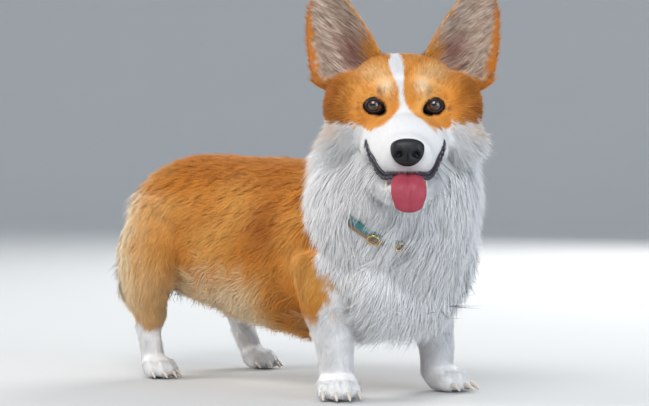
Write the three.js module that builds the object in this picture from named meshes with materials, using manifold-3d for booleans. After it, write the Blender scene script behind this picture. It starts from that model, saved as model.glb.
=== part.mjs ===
// A standing Pembroke Welsh Corgi, life size, as a museum model in separate solids.
// Millimetres, +Z up, floor at z = 0. The body faces -Y and the head is turned to the dog's right.
import * as THREE from "three";
import { mergeVertices } from "three/addons/utils/BufferGeometryUtils.js";
import { ParametricGeometry } from "three/addons/geometries/ParametricGeometry.js";
import Module from "manifold-3d";

const wasm = await Module();
wasm.setup();

// Driving dimensions
const GAP = 0.35; // between touching pieces
const LEG_GAP = 0.6; // round the roots of the legs
const CHEST_CUT = -128; // where the chest meets the trunk behind it
const HEAD_AT = [-75, -280, 330]; // midway between the eyes
const HEAD_TURN = -38; // degrees, to the dog's right
const EYE_SPREAD = 32.7; // from the middle of the face to each eye
const EYEBALL = 10.5;
const CLAW_LIFT = 0.5; // of the claws' tips off the floor
const SIDES = { right: -1, left: 1 };

// Materials of the coat and of the bare parts
const LOOKS = {
  red_coat: { color: 0xc9813a, roughness: 0.85 },
  white_coat: { color: 0xeeece6, roughness: 0.85 },
  nose_leather: { color: 0x191618, roughness: 0.4 },
  eye_glass: { color: 0x2a1710, roughness: 0.1 },
  tongue: { color: 0xcf5a68, roughness: 0.4 },
  tooth: { color: 0xe9e2d0, roughness: 0.3 },
  claw: { color: 0xc9a08a, roughness: 0.45 },
  strap: { color: 0x2f9c98, roughness: 0.7 },
  brass: { color: 0xb59a5c, roughness: 0.3, metalness: 1 },
};
const materials = Object.fromEntries(
  Object.entries(LOOKS).map(([name, look]) => [name, new THREE.MeshStandardMaterial({ name, ...look })]),
);

// Seeded draws, so that every build is the same
let seed = 29;
function draw(low, high) {
  seed = (seed * 1664525 + 1013904223) % 4294967296;
  return low + ((high - low) * seed) / 4294967296;
}

const mix = (a, b, t) => a + (b - a) * t;
const power = (value, exponent) => Math.sign(value) * Math.abs(value) ** exponent;
const degrees = THREE.MathUtils.degToRad;

// The value at t of a Catmull-Rom curve through evenly spaced numbers
function smooth(values, t) {
  const last = values.length - 1;
  const s = THREE.MathUtils.clamp(t, 0, 1) * last;
  const i = Math.min(Math.floor(s), last - 1);
  const f = s - i;
  const [b, c] = [values[i], values[i + 1]];
  const a = values[i - 1] ?? 2 * b - c;
  const d = values[i + 2] ?? 2 * c - b;
  return b + 0.5 * f * (c - a + f * (2 * a - 5 * b + 4 * c - d + f * (3 * (b - c) + d - a)));
}

// A closed geometry as a solid, facing out
function solid(geometry) {
  const bare = new THREE.BufferGeometry().setAttribute("position", geometry.getAttribute("position"));
  bare.setIndex(geometry.index);
  const merged = mergeVertices(bare, 1e-3);
  const faces = [];
  for (let i = 0; i < merged.index.count; i += 3) {
    const [a, b, c] = [i, i + 1, i + 2].map((k) => merged.index.getX(k));
    if (a !== b && b !== c && a !== c) faces.push([a, b, c]);
  }
  const vertProperties = new Float32Array(merged.attributes.position.array);
  const build = (list) => {
    const triVerts = new Uint32Array(list.flat());
    return new wasm.Manifold(new wasm.Mesh({ numProp: 3, vertProperties, triVerts }));
  };
  const made = build(faces);
  return made.volume() < 0 ? build(faces.map(([a, b, c]) => [a, c, b])) : made;
}

const joined = (solids) => solids.reduce((a, b) => a.add(b));
const both = (make) => joined(Object.values(SIDES).map((side) => make(side)));

// The largest closed surface of a solid
function largest(made) {
  const pieces = made.decompose().filter((piece) => piece.volume() > 0);
  return pieces.reduce((a, b) => (a.volume() > b.volume() ? a : b));
}

// A round body through stations of [x, y, z, half width, half depth], domed at both ends.
// `place` gives a point of its surface, `around` 0 to 1 and `along` 0 to 1, stood off by `grow`.
function tube(stations, options = {}) {
  const { side = [1, 0, 0], sides = 16, steps = 10, dome = 3 } = options;
  const { ends = [20, 20], square = 2, pear = 0 } = options;
  const rows = steps + 2 * dome;
  const [xs, ys, zs, widths, depths] = [0, 1, 2, 3, 4].map((k) => stations.map((station) => station[k]));
  const centre = (u) => new THREE.Vector3(smooth(xs, u), smooth(ys, u), smooth(zs, u));
  const sideways = new THREE.Vector3(...side);
  function place(around, along, grow = 0) {
    const row = along * rows;
    const u = THREE.MathUtils.clamp((row - dome) / steps, 0, 1);
    const before = Math.max(0, 1 - row / dome);
    const after = Math.max(0, 1 - (rows - row) / dome);
    const bend = (Math.max(before, after) * Math.PI) / 2;
    const reach = (before > 0 ? -(ends[0] + grow) : ends[1] + grow) * Math.sin(bend);
    const ahead = centre(Math.min(u + 0.01, 1)).sub(centre(Math.max(u - 0.01, 0))).normalize();
    const across = sideways.clone().addScaledVector(ahead, -ahead.dot(sideways)).normalize();
    const up = across.clone().cross(ahead);
    const [c, s] = [Math.cos(2 * Math.PI * around), Math.sin(2 * Math.PI * around)];
    const [half, deep] = [widths, depths].map((sizes) => (smooth(sizes, u) + grow) * Math.cos(bend));
    return centre(u)
      .addScaledVector(ahead, reach)
      .addScaledVector(across, power(c, 2 / square) * half * (1 - pear * s))
      .addScaledVector(up, power(s, 2 / square) * deep);
  }
  const surface = (grow) => (around, along, target) => target.copy(place(around % 1, along, grow));
  const made = (grow = 0) => solid(new ParametricGeometry(surface(grow), sides, rows));
  return { place, centre, made };
}

// The outward direction of a tube's surface, from its own slopes
function outward(surface, around, along) {
  const step = 0.01;
  const slope = (a, b) => surface.place(...b).sub(surface.place(...a));
  const turn = slope([around - step, along], [around + step, along]);
  const run = slope([around, along - step], [around, along + step]);
  const out = turn.cross(run).normalize();
  return out.dot(slope([around + 0.5, along], [around, along])) < 0 ? out.negate() : out;
}

// A flat, tapered lock: sunk in the coat's core, it rises, bends over with the body and lies along `flow`
const LOCK_ROWS = [
  { t: 0, wide: 0 },
  { t: 0.18, wide: 0.95 },
  { t: 0.48, wide: 0.9 },
  { t: 0.8, wide: 0.5 },
  { t: 1, wide: 0 },
];
function lock(root, out, flow, { length, width, thick, rise, curve, sink = 7 }, grow = 0) {
  const way = new THREE.Vector3(...flow);
  const along = way.addScaledVector(out, -out.dot(way)).normalize();
  const across = along.clone().cross(out);
  const shape = (around, v, target) => {
    const { t, wide } = LOCK_ROWS[Math.round(v * 4)];
    const reach = length * t;
    const lift = mix(-sink, rise, 1 - (1 - t) ** 2) - reach ** 2 / (2 * curve);
    const angle = 2 * Math.PI * (around % 1);
    const spread = wide > 0 ? (wide * width) / 2 + grow : 0;
    const deep = wide > 0 ? (wide * thick) / 2 + grow : 0;
    target
      .copy(root)
      .addScaledVector(along, reach)
      .addScaledVector(out, lift + Math.sin(angle) * deep)
      .addScaledVector(across, Math.cos(angle) * spread);
  };
  return solid(new ParametricGeometry(shape, 4, 4));
}

// Locks at [around, along] places of a tube, each a little unlike the next
function coat(surface, places, flow, size) {
  const locks = places.map(([around, along]) => {
    const root = [around + draw(-0.006, 0.006), along + draw(-0.006, 0.006)];
    const vary = ([key, value]) => [key, value * draw(0.88, 1.12)];
    const varied = Object.fromEntries(Object.entries(size).map(vary));
    const way = flow.map((value) => value + draw(-0.1, 0.1));
    return (grow) => lock(surface.place(...root), outward(surface, ...root), way, varied, grow);
  });
  return (grow = 0) => joined(locks.map((each) => each(grow)));
}

// Places in a row round a tube, at `along`, spread between two values of `around`
const row = (along, count, from = 0, to = 1) =>
  Array.from({ length: count }, (_, i) => [mix(from, to, (i + 0.5) / count), along]);

const ball = (at, size, segments = 14, grow = 0) =>
  solid(
    new THREE.SphereGeometry(1, segments, Math.round(segments * 0.7))
      .scale(...size.map((radius) => radius + grow))
      .translate(...at),
  );

// Everything on one side of a level plane across `axis`
function slab(axis, low, high) {
  const size = [900, 900, 900];
  const middle = [0, 0, 0];
  size[axis] = high - low;
  middle[axis] = (low + high) / 2;
  return solid(new THREE.BoxGeometry(...size).translate(...middle));
}

// Paw, in its own frame: ankle over the origin, toes towards -Y
const TOES = [
  { x: -17.5, front: -30, spread: -4 },
  { x: -6.4, front: -40, spread: -1 },
  { x: 6.4, front: -40, spread: 1 },
  { x: 17.5, front: -30, spread: 4 },
];
const TOE_HALF = 7.9;
function toe({ x, front, spread }) {
  const stations = [
    [x * 0.62, front + 34, 20, TOE_HALF, 9],
    [x * 0.9, front + 19, 18, TOE_HALF, 11],
    [x, front + 8, 10, TOE_HALF, 10.9],
    [x + spread * 0.3, front + 5, 8.6, TOE_HALF - 1, 9.4],
  ];
  return tube(stations, { sides: 6, steps: 2, dome: 2, ends: [6, 6] });
}
function heel() {
  const stations = [
    [0, 6, 26, 17, 15],
    [0, -6, 16, 21, 17.5],
    [0, -18, 11, 22, 13.5],
  ];
  return tube(stations, { sides: 10, steps: 3, dome: 2, ends: [12, 8], square: 2.3 });
}
function claw({ x, front, spread }) {
  const stations = [
    [x + spread * 0.3, front + 4, 9.4, 2.6, 3.2],
    [x + spread * 0.5, front - 2.5, 8.2, 2.3, 2.8],
    [x + spread * 0.7, front - 7.5, 4.2 + CLAW_LIFT, 1.3, 1.5],
  ];
  return tube(stations, { sides: 5, steps: 2, dome: 1, ends: [1, 3] });
}
const pawShape = (grow) => joined([heel().made(grow), ...TOES.map((each) => toe(each).made(grow))]);
const paw = largest(pawShape(0).subtract(slab(2, -900, 0)));
const clawOf = (each) => largest(claw(each).made().subtract(toe(each).made(GAP)));

// Legs: where each ankle stands, the way its toes turn in degrees, and the size of its foot
const LEGS = {
  foreleg_right: { ankle: [-68, -153], turn: -29, foot: 1.04, lean: 0, side: -1 },
  foreleg_left: { ankle: [83, -152], turn: 22, foot: 1.04, lean: 0, side: 1 },
  hindleg_right: { ankle: [-84, 182], turn: -6, foot: 0.9, lean: 4, side: -1 },
  hindleg_left: { ankle: [84, 204], turn: 4, foot: 0.9, lean: 22, side: 1 },
};
const pawPlace = ({ ankle, turn }) =>
  new THREE.Matrix4().makeRotationZ(degrees(turn)).setPosition(ankle[0], ankle[1], 0);
const pawScaled = (made, { foot }) => made.scale([foot, foot, foot]);

function foreleg({ ankle: [x, y], side }) {
  const out = x - side * 74; // how far the foot stands off its place under the shoulder
  const stations = [
    [side * 64 + 0.6 * out, -134, 152, 42, 48],
    [side * 70 + 0.8 * out, -138, 118, 34, 37],
    [side * 72 + 0.9 * out, mix(y, -138, 0.55), 84, 26, 27],
    [x, y + 1, 54, 21.5, 22],
    [x, y - 1, 26, 20.5, 19],
  ];
  return tube(stations, { sides: 10, steps: 6, dome: 2, ends: [26, 10] });
}
function hindleg({ ankle: [x, y], lean, side }) {
  const stations = [
    [side * 58, 182, 196, 44, 60],
    [side * 78, 186 + 0.2 * lean, 152, 36, 62],
    [side * 87, 190 + 0.6 * lean, 112, 27, 44],
    [mix(x, side * 86, 0.4), y + 5 + lean, 80, 20, 27],
    [x, y + 9 + 0.7 * lean, 56, 17, 19],
    [x, y + 3 + 0.2 * lean, 27, 16.5, 17],
  ];
  return tube(stations, { sides: 10, steps: 8, dome: 2, ends: [28, 10] });
}
const legs = Object.entries(LEGS).map(([name, limb]) => {
  const shape = name.startsWith("fore") ? foreleg(limb) : hindleg(limb);
  const footprint = pawScaled(pawShape(GAP / limb.foot), limb).transform(pawPlace(limb).elements);
  return { name, limb, shape, footprint };
});
const legSockets = joined(legs.map(({ shape }) => shape.made(LEG_GAP)));

// Trunk, from the chest back to the rump, and the short tail
const trunk = tube(
  [
    [10, -200, 166, 89, 77],
    [5, -150, 171, 99, 97],
    [2, -90, 167, 97, 103],
    [0, -20, 168, 97, 101],
    [0, 50, 173, 95, 97],
    [0, 120, 180, 94, 91],
    [0, 185, 186, 96, 85],
    [0, 232, 180, 86, 68],
  ],
  { sides: 20, steps: 10, dome: 3, ends: [36, 44], square: 2.3 },
);
const tailShape = tube(
  [
    [0, 240, 226, 20, 18],
    [0, 264, 232, 18, 16],
    [0, 284, 226, 13, 12],
  ],
  { sides: 10, steps: 2, dome: 2, ends: [14, 10] },
);

// Neck, from the back of the skull down into the chest
const neckShape = tube(
  [
    [-44, -226, 318, 52, 48],
    [-38, -218, 285, 74, 66],
    [-26, -203, 248, 86, 79],
    [-10, -182, 212, 90, 82],
    [0, -162, 180, 88, 80],
  ],
  { side: [0.9, -0.44, 0], sides: 20, steps: 8, dome: 3, ends: [8, 30] },
);

// Head, in its own frame: midway between the eyes, nose towards -Y
const skull = tube(
  [
    [0, 14, -12, 54, 38],
    [0, 32, -7, 64, 55],
    [0, 55, -6, 68, 62],
    [0, 82, -8, 58, 54],
  ],
  { sides: 20, steps: 6, dome: 3, ends: [21, 26] },
);
const muzzle = tube(
  [
    [0, 12, -34, 50, 30],
    [0, -20, -41, 44, 32],
    [0, -46, -50, 33, 26],
    [0, -66, -53, 28, 23],
  ],
  { side: [-1, 0, 0], sides: 16, steps: 6, dome: 3, ends: [20, 15], pear: 0.16, square: 2.3 },
);
const jawShape = tube(
  [
    [0, 20, -74, 40, 26],
    [0, -16, -80, 36, 20],
    [0, -46, -87, 28, 13],
    [0, -62, -90, 22, 9.5],
  ],
  { sides: 14, steps: 4, dome: 2, ends: [16, 12], square: 2.2 },
);
const cheek = (side, grow) => ball([side * 57, 36, -10], [35, 36, 48], 12, grow);

// The line of the mouth from its corner forwards, as [y, z] on the side of the muzzle
const MOUTH = [
  [-21, -37],
  [-32, -47],
  [-47, -63],
  [-62, -72],
  [-78, -72],
  [-100, -71],
];
function belowMouth(shift) {
  const [corner, ...rest] = MOUTH.map(([y, z]) => new THREE.Vector2(y, z + shift));
  const outline = new THREE.Shape();
  outline.moveTo(60, corner.y - 58);
  outline.lineTo(-6, corner.y - 13);
  outline.lineTo(corner.x, corner.y);
  outline.splineThru(rest);
  outline.lineTo(-100, -200);
  outline.lineTo(60, -200);
  const axes = [new THREE.Vector3(0, 1, 0), new THREE.Vector3(0, 0, 1), new THREE.Vector3(1, 0, 0)];
  const wedge = new THREE.ExtrudeGeometry(outline, { depth: 160, bevelEnabled: false, curveSegments: 3 });
  return solid(wedge.applyMatrix4(new THREE.Matrix4().makeBasis(...axes)).translate(-80, 0, 0));
}

// The bead of an upper lip, along the mouth line on the muzzle's own side
function lip(side) {
  const line = MOUTH.slice(0, 5).map(([y, z]) => {
    let best = { miss: Infinity };
    for (let i = 0; i <= 40; i++)
      for (let j = 0; j <= 40; j++) {
        const p = muzzle.place(0.75 - (side * i) / 160, j / 40);
        const miss = Math.abs(p.y - y) + Math.abs(p.z - z - 1);
        if (miss < best.miss) best = { miss, p };
      }
    return [best.p.x, best.p.y, best.p.z, 2.2, 2.6];
  });
  return tube(line, { sides: 5, steps: 6, dome: 1, ends: [2, 2] });
}

const noseShape = tube(
  [
    [0, -72, -48.5, 16, 13.5],
    [0, -83, -49.5, 17.4, 15],
  ],
  { side: [-1, 0, 0], sides: 14, steps: 1, dome: 3, ends: [5, 8], pear: -0.2, square: 2.3 },
);
const nostril = (side) => ball([side * 8.6, -91, -51.4], [4.4, 6, 3.2], 8);

const tongueShape = tube(
  [
    [1, -18, -66, 17, 4.6],
    [1, -50, -73, 16.5, 4.6],
    [1, -70, -77, 16.5, 4.4],
    [1.2, -84, -84, 18.4, 4],
    [1.5, -88.5, -95, 18.4, 3.6],
    [1.5, -88, -104, 15.5, 3.2],
  ],
  { side: [-1, 0, 0], sides: 10, steps: 9, dome: 2, ends: [8, 9], square: 2.4 },
);
const canine = (side) =>
  tube(
    [
      [side * 20.5, -60, -87, 2.6, 3],
      [side * 20.8, -61.5, -77, 1.2, 1.4],
    ],
    { sides: 6, steps: 1, dome: 1, ends: [1, 3] },
  );

// Eyes, and the lids round them
const LIDS = { wide: 11, tall: 7.6, rim: 2, turn: 0.34 };
const eyeball = (side, grow) => ball([side * EYE_SPREAD, 7.2, 0], [EYEBALL, EYEBALL, EYEBALL], 14, grow);
function lids(side) {
  const ring = new THREE.TorusGeometry(LIDS.wide, LIDS.rim, 5, 16).scale(1, LIDS.tall / LIDS.wide, 1.2);
  return solid(ring.rotateX(Math.PI / 2).rotateZ(side * LIDS.turn).translate(side * (EYE_SPREAD + 0.6), -0.4, 0));
}

// An ear: a bent blade, cupped to the front, from its root in the skull to its tip
const EAR = { length: 111, half: 37, cup: 21, thick: 6, lean: 0.337, open: 0.2, root: [49, 38, 24] };
function ear(side, grow = 0) {
  const shape = (around, along, target) => {
    const fromTip = (1 - along) * EAR.length;
    const spread = Math.min(EAR.half, 12 * (1 - Math.exp(-fromTip / 4)) + 0.36 * fromTip) + 1;
    const pole = along === 0 || along === 1;
    const half = pole ? 0 : spread + grow;
    const angle = 2 * Math.PI * (around % 1);
    const deep = EAR.cup * (spread / EAR.half) ** 1.4;
    const thick = pole ? 0 : mix(EAR.thick, EAR.thick * 0.6, along) / 2 + grow;
    const x = Math.cos(angle) * half;
    const bow = 1 - (x / spread) ** 2;
    target.set(x, bow * deep + Math.sin(angle) * thick, along * EAR.length);
  };
  const blade = new ParametricGeometry(shape, 12, 9);
  const [x, y, z] = EAR.root;
  return solid(blade.rotateZ(side * EAR.open).rotateY(side * EAR.lean).translate(side * x, y, z));
}

const headFrame = new THREE.Matrix4().makeRotationZ(degrees(HEAD_TURN)).setPosition(...HEAD_AT);
const bareHead = (grow) =>
  joined([skull.made(grow), muzzle.made(grow), both((side) => cheek(side, grow))]);
const tongueGroove = tongueShape.made(GAP);
const head = largest(
  bareHead(0)
    .subtract(belowMouth(0))
    .add(both((side) => lip(side).made()))
    .add(both(lids))
    .subtract(both((side) => eyeball(side, GAP)))
    .subtract(noseShape.made(GAP))
    .subtract(tongueGroove),
);
const jaw = largest(
  jawShape
    .made()
    .intersect(belowMouth(-1))
    .subtract(both((side) => lip(side).made(GAP)))
    .subtract(tongueGroove)
    .subtract(both((side) => canine(side).made(GAP))),
);
const headRoom = bareHead(GAP).add(jawShape.made(GAP));
const earRoom = skull.made(GAP).add(both((side) => cheek(side, GAP)));

// Collar: a flat strap laid on the neck, in the parting of the ruff. `band` is a strip round the neck,
// `half` of the neck's length to each side of the collar's middle, from `low` to `high` above the skin.
const COLLAR = { along: 0.5, dip: 0.11, lowest: 0.85, half: 0.026, thick: 2.4, ring: 0.685, buckle: 0.735 };
const PARTING = 0.05; // half the width of the parting, as a share of the neck's length
const PARTING_DEPTH = 40;
const collarMiddle = (around) => COLLAR.along + COLLAR.dip * Math.cos(2 * Math.PI * (around - COLLAR.lowest));
const onNeck = (around, offset, lift) => neckShape.place(around % 1, collarMiddle(around) + offset, lift);
function band(half, low, high) {
  const corners = [
    [-1, low],
    [1, low],
    [1, high],
    [-1, high],
  ];
  const strip = (around, along, target) => {
    const [end, lift] = corners[Math.round(along * corners.length) % corners.length];
    target.copy(onNeck(around, end * half, lift));
  };
  return solid(new ParametricGeometry(strip, 30, corners.length));
}
const collar = band(COLLAR.half, GAP, COLLAR.thick);

// A wire loop lying on the collar's face, `down` of the neck's length below its middle
function loopOnCollar(around, down, radius, wire, segments, turn) {
  const at = onNeck(around, down, COLLAR.thick + wire + 2 * GAP);
  const out = onNeck(around, down, 20).sub(at).normalize();
  const along = onNeck(around + 0.01, down, 0).sub(onNeck(around - 0.01, down, 0)).normalize();
  const across = out.clone().cross(along).normalize();
  const axes = new THREE.Matrix4().makeBasis(across.clone().cross(out), across, out);
  const loop = new THREE.TorusGeometry(radius, wire, 6, segments).rotateZ(turn).applyMatrix4(axes);
  return solid(loop.translate(at.x, at.y, at.z));
}

// Long coat: the ruff on the neck, the bib on the chest, the fringe of the belly and the breeches
const RUFF = { length: 68, width: 46, thick: 13, rise: 17, curve: 105 };
const BIB = { length: 60, width: 46, thick: 12, rise: 13, curve: 95 };
const FRINGE = { length: 46, width: 34, thick: 9, rise: 7, curve: 200 };
const BREECHES = { length: 50, width: 38, thick: 11, rise: 11, curve: 80 };
const DOWN_AND_BACK = [0.1, 0.5, -0.86];
const NAPE = 0.22; // the highest place along the neck where a lock is rooted
const roundCollar = (offset, count, from, to) =>
  row(0, count, from, to).map(([around]) => [around, Math.max(NAPE, collarMiddle(around) + offset)]);
const ruff = coat(
  neckShape,
  [
    ...roundCollar(-0.25, 8),
    ...roundCollar(-0.17, 8, 0.06, 1.06),
    ...roundCollar(-0.09, 4, -0.1, 0.5),
    ...roundCollar(0.07, 9),
  ],
  DOWN_AND_BACK,
  RUFF,
);
const bib = coat(
  trunk,
  [...row(0.06, 3, 0.42, 1.08), ...row(0.12, 6, 0.4, 1.1), ...row(0.19, 5, 0.52, 0.98)],
  [0, 0.25, -1],
  BIB,
);
const fringe = coat(
  trunk,
  [0.63, 0.71, 0.79, 0.87].flatMap((around) => [0.33, 0.45, 0.57].map((along) => [around, along])),
  [0, 0.5, -0.86],
  FRINGE,
);
const breeches = coat(
  trunk,
  [...row(0.84, 3, 0.6, 0.9), ...row(0.92, 4, 0.5, 1)],
  [0, 0.2, -1],
  BREECHES,
);

const neckRoom = neckShape.made(GAP).add(legSockets);
const neck = largest(
  neckShape
    .made()
    .add(ruff().subtract(trunk.made(GAP)).subtract(bib(GAP)))
    .subtract(headRoom.transform(headFrame.elements))
    .subtract(band(COLLAR.half + GAP / 100, 0, COLLAR.thick + GAP))
    .subtract(legSockets),
);
const chest = largest(
  trunk
    .made()
    .add(bib())
    .intersect(slab(1, -900, CHEST_CUT - GAP))
    .subtract(neckRoom)
    .subtract(band(PARTING, -GAP, PARTING_DEPTH)),
);
const hindPart = joined([trunk.made(), fringe(), breeches()]).intersect(slab(1, CHEST_CUT, 900));
const torso = largest(hindPart.subtract(neckRoom).subtract(tailShape.made(GAP)));

// Scene graph: groups for the body, the head and each leg, with one mesh for each solid
const root = new THREE.Group();
root.name = "corgi";
function group(name, parent, position = [0, 0, 0], turn = 0) {
  const made = new THREE.Group();
  made.name = name;
  made.position.set(...position);
  made.rotation.z = degrees(turn);
  parent.add(made);
  return made;
}
function show(name, made, look, parent) {
  const { vertProperties, triVerts, numProp } = made.getMesh();
  const geometry = new THREE.BufferGeometry();
  geometry.setAttribute("position", new THREE.BufferAttribute(new Float32Array(vertProperties), numProp));
  geometry.setIndex(new THREE.BufferAttribute(new Uint32Array(triVerts), 1));
  geometry.computeVertexNormals();
  const mesh = new THREE.Mesh(geometry, materials[look]);
  mesh.name = name;
  parent.add(mesh);
}

const bodyGroup = group("body", root);
show("torso", torso, "red_coat", bodyGroup);
show("chest", chest, "white_coat", bodyGroup);
show("neck", neck, "white_coat", bodyGroup);
show("tail", largest(tailShape.made()), "red_coat", bodyGroup);
show("collar", collar, "strap", bodyGroup);
show("collar_ring", loopOnCollar(COLLAR.ring, 0.006, 7, 1.3, 14, 0), "brass", bodyGroup);
show("collar_buckle", loopOnCollar(COLLAR.buckle, 0, 6.5, 1, 4, Math.PI / 4), "brass", bodyGroup);

const headGroup = group("face", root, HEAD_AT, HEAD_TURN);
show("head", head, "red_coat", headGroup);
show("jaw", jaw, "white_coat", headGroup);
show("nose", largest(noseShape.made().subtract(both(nostril))), "nose_leather", headGroup);
show("tongue", tongueShape.made(), "tongue", headGroup);
for (const [name, side] of Object.entries(SIDES)) {
  show(`ear_${name}`, largest(ear(side).subtract(earRoom)), "red_coat", headGroup);
  show(`eye_${name}`, eyeball(side, 0), "eye_glass", headGroup);
  show(`canine_${name}`, canine(side).made(), "tooth", headGroup);
}

for (const { name, limb, shape, footprint } of legs) {
  const legGroup = group(`${name}_group`, root);
  const look = name.startsWith("fore") ? "white_coat" : "red_coat";
  show(name, largest(shape.made().subtract(footprint)), look, legGroup);
  const foot = group(`${name}_foot`, legGroup, [...limb.ankle, 0], limb.turn);
  const paws = name.replace("leg", "paw");
  show(paws, pawScaled(paw, limb), "white_coat", foot);
  TOES.forEach((each, i) => show(`${paws}_claw_${i + 1}`, pawScaled(clawOf(each), limb), "claw", foot));
}

// The origin goes to the middle of the floor under the model
root.updateMatrixWorld(true);
const extent = new THREE.Box3().setFromObject(root, true);
const middle = extent.getCenter(new THREE.Vector3());
for (const child of root.children) child.position.sub(new THREE.Vector3(middle.x, middle.y, extent.min.z));
export default root;
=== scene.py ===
"""Looks of a life-size Pembroke Welsh Corgi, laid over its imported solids.

Tables of stations are in millimetres and in the dog's frame, in which the part's source names its sizes:
the floor is at z = 0, the body faces -Y and the dog's left is +X. The head has a frame of its own, midway
between the eyes, with the nose towards -Y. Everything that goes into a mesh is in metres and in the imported
frame.
"""

import math

import bpy
import numpy as np
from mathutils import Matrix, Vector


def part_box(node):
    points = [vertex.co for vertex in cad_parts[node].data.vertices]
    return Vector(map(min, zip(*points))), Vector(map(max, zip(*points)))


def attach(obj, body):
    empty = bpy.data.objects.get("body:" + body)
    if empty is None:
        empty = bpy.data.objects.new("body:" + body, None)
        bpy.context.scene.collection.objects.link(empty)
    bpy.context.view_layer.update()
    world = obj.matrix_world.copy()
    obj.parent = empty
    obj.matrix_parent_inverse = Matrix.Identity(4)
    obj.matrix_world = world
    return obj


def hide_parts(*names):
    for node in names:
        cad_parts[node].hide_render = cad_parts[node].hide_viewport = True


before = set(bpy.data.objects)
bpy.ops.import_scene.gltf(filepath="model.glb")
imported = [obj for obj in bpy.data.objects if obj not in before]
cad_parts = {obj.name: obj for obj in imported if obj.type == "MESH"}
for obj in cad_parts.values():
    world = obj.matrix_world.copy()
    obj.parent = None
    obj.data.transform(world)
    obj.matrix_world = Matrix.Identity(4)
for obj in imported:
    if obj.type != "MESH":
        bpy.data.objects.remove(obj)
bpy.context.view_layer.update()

bl_info = {
    "name": "Corgi model",
    "version": (1, 0, 0),
    "blender": (4, 5, 0),
    "location": "View3D > Sidebar > Corgi",
    "description": "Skin, coat, eyes, nose, mouth, claws and collar of a life-size corgi",
    "category": "Add Mesh",
}

MM = 0.001
RIGHT = -1
LEFT = 1
SIDES = {"right": RIGHT, "left": LEFT}

# Driving sizes of the dog in millimetres, with angles in radians, as in the part's source. The ears are a
# little thinner than there, to leave room for their hair.
HEAD_AT = np.array([-75.0, -280.0, 330.0])
HEAD_TURN = math.radians(-38)
EYE_SPREAD = 32.7
EYE_DEPTH = 7.2
EYEBALL = 10.5
EAR = {"length": 111, "half": 37, "cup": 21, "thick": 5.4, "lean": 0.337, "open": 0.2, "root": (49, 38, 24)}

# The collar's place, dip and half width are shares of the neck's length, and the places of its lowest
# point, its ring and its buckle are shares of the way round. It is narrower than in the source, as the ruff
# covers its edges.
COLLAR = {
    "along": 0.5, "dip": 0.11, "lowest": 0.85, "half": 0.019, "thick": 2.4, "ring": 0.685, "buckle": 0.735,
}


# Sums on arrays

def ramp(value, low, high):
    """0 below `low`, 1 above `high`, and a smooth step between."""
    t = np.clip((value - low) / (high - low), 0, 1)
    return t * t * (3 - 2 * t)


def bump_at(points, centre, size):
    """A hill of height 1 round `centre`, that falls off as exp(-r^2) with r measured in `size`."""
    return np.exp(-((((points - np.array(centre)) / np.array(size)) ** 2).sum(-1)))


def unit(vectors):
    """Vectors of length 1."""
    return vectors / np.maximum(np.linalg.norm(vectors, axis=-1, keepdims=True), 1e-12)


def mixed(a, b, share):
    """Rows of a where share is 0 and of b where it is 1."""
    share = np.asarray(share)[..., None]
    return np.asarray(a) * (1 - share) + np.asarray(b) * share


def waves(points, length, seed, count=5):
    """Smooth noise from -1 to 1: a mean of sines along seeded directions, about `length` long."""
    draws = np.random.default_rng(seed)
    ways = unit(draws.normal(size=(count, 3))) * (2 * math.pi / length)
    ways = ways * draws.uniform(0.7, 1.4, (count, 1))
    return np.sin(points @ ways.T + draws.uniform(0, 2 * math.pi, count)).mean(-1) * 1.6


def pull(points, length, seed, count=6):
    """The slope of smooth noise `length` long. It points to ridges, where hairs that follow it clump."""
    draws = np.random.default_rng(seed)
    ways = unit(draws.normal(size=(count, 3)))
    rates = 2 * math.pi / length * draws.uniform(0.7, 1.4, count)
    return np.cos(points @ (ways * rates[:, None]).T + draws.uniform(0, 2 * math.pi, count)) @ ways


def curve(values, t):
    """The value at t, 0 to 1, of a Catmull-Rom curve through evenly spaced rows."""
    values = np.asarray(values, float)
    last = len(values) - 1
    s = np.clip(t, 0, 1) * last
    i = np.minimum(np.floor(s).astype(int), last - 1)
    wide = (..., None) if values.ndim > 1 else (...,)
    f = (s - i)[wide]
    b, c = values[i], values[i + 1]
    a = np.where((i > 0)[wide], values[np.maximum(i - 1, 0)], 2 * b - c)
    d = np.where((i + 2 <= last)[wide], values[np.minimum(i + 2, last)], 2 * c - b)
    return b + 0.5 * f * (c - a + f * (2 * a - 5 * b + 4 * c - d + f * (3 * (b - c) + d - a)))


def line_at(table, value):
    """Straight-line reading of a table of (value, result) pairs."""
    places, results = np.array(table, float).T
    return np.interp(value, places, results)


def stacked(*parts):
    """Vectors put together from their parts, which are numbers or arrays."""
    return np.stack(np.broadcast_arrays(*parts), -1)


def evened(points):
    """Points with x as the distance from the middle, for what is alike on both sides."""
    return np.concatenate([np.abs(points[..., :1]), points[..., 1:]], -1)


def blunted(wave, power):
    """A sine or cosine raised to a power with its sign kept, which makes a round section squarer."""
    return np.sign(wave) * np.abs(wave) ** power


def rotated(a, b, angle):
    """Two coordinates after a turn by the angle, from the first axis towards the second."""
    return a * np.cos(angle) - b * np.sin(angle), a * np.sin(angle) + b * np.cos(angle)


def full_turn(count):
    """Evenly spaced angles round a full turn."""
    return np.arange(count) / count * 2 * math.pi


# Frames

def turn_about_z(angle):
    """The matrix that turns a column of x, y and z about Z by an angle."""
    c, s = math.cos(angle), math.sin(angle)
    return np.array([[c, -s, 0], [s, c, 0], [0, 0, 1]])


HEAD_AXES = turn_about_z(HEAD_TURN)


def head_way(vectors):
    """Directions of the head's frame in the dog's frame."""
    return vectors @ HEAD_AXES.T


def to_head_way(vectors):
    """Directions of the dog's frame in the head's frame."""
    return vectors @ HEAD_AXES


def from_head(points):
    """Points of the head's frame in the dog's frame: turned about Z and moved to the head's place."""
    return head_way(points) + HEAD_AT


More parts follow.
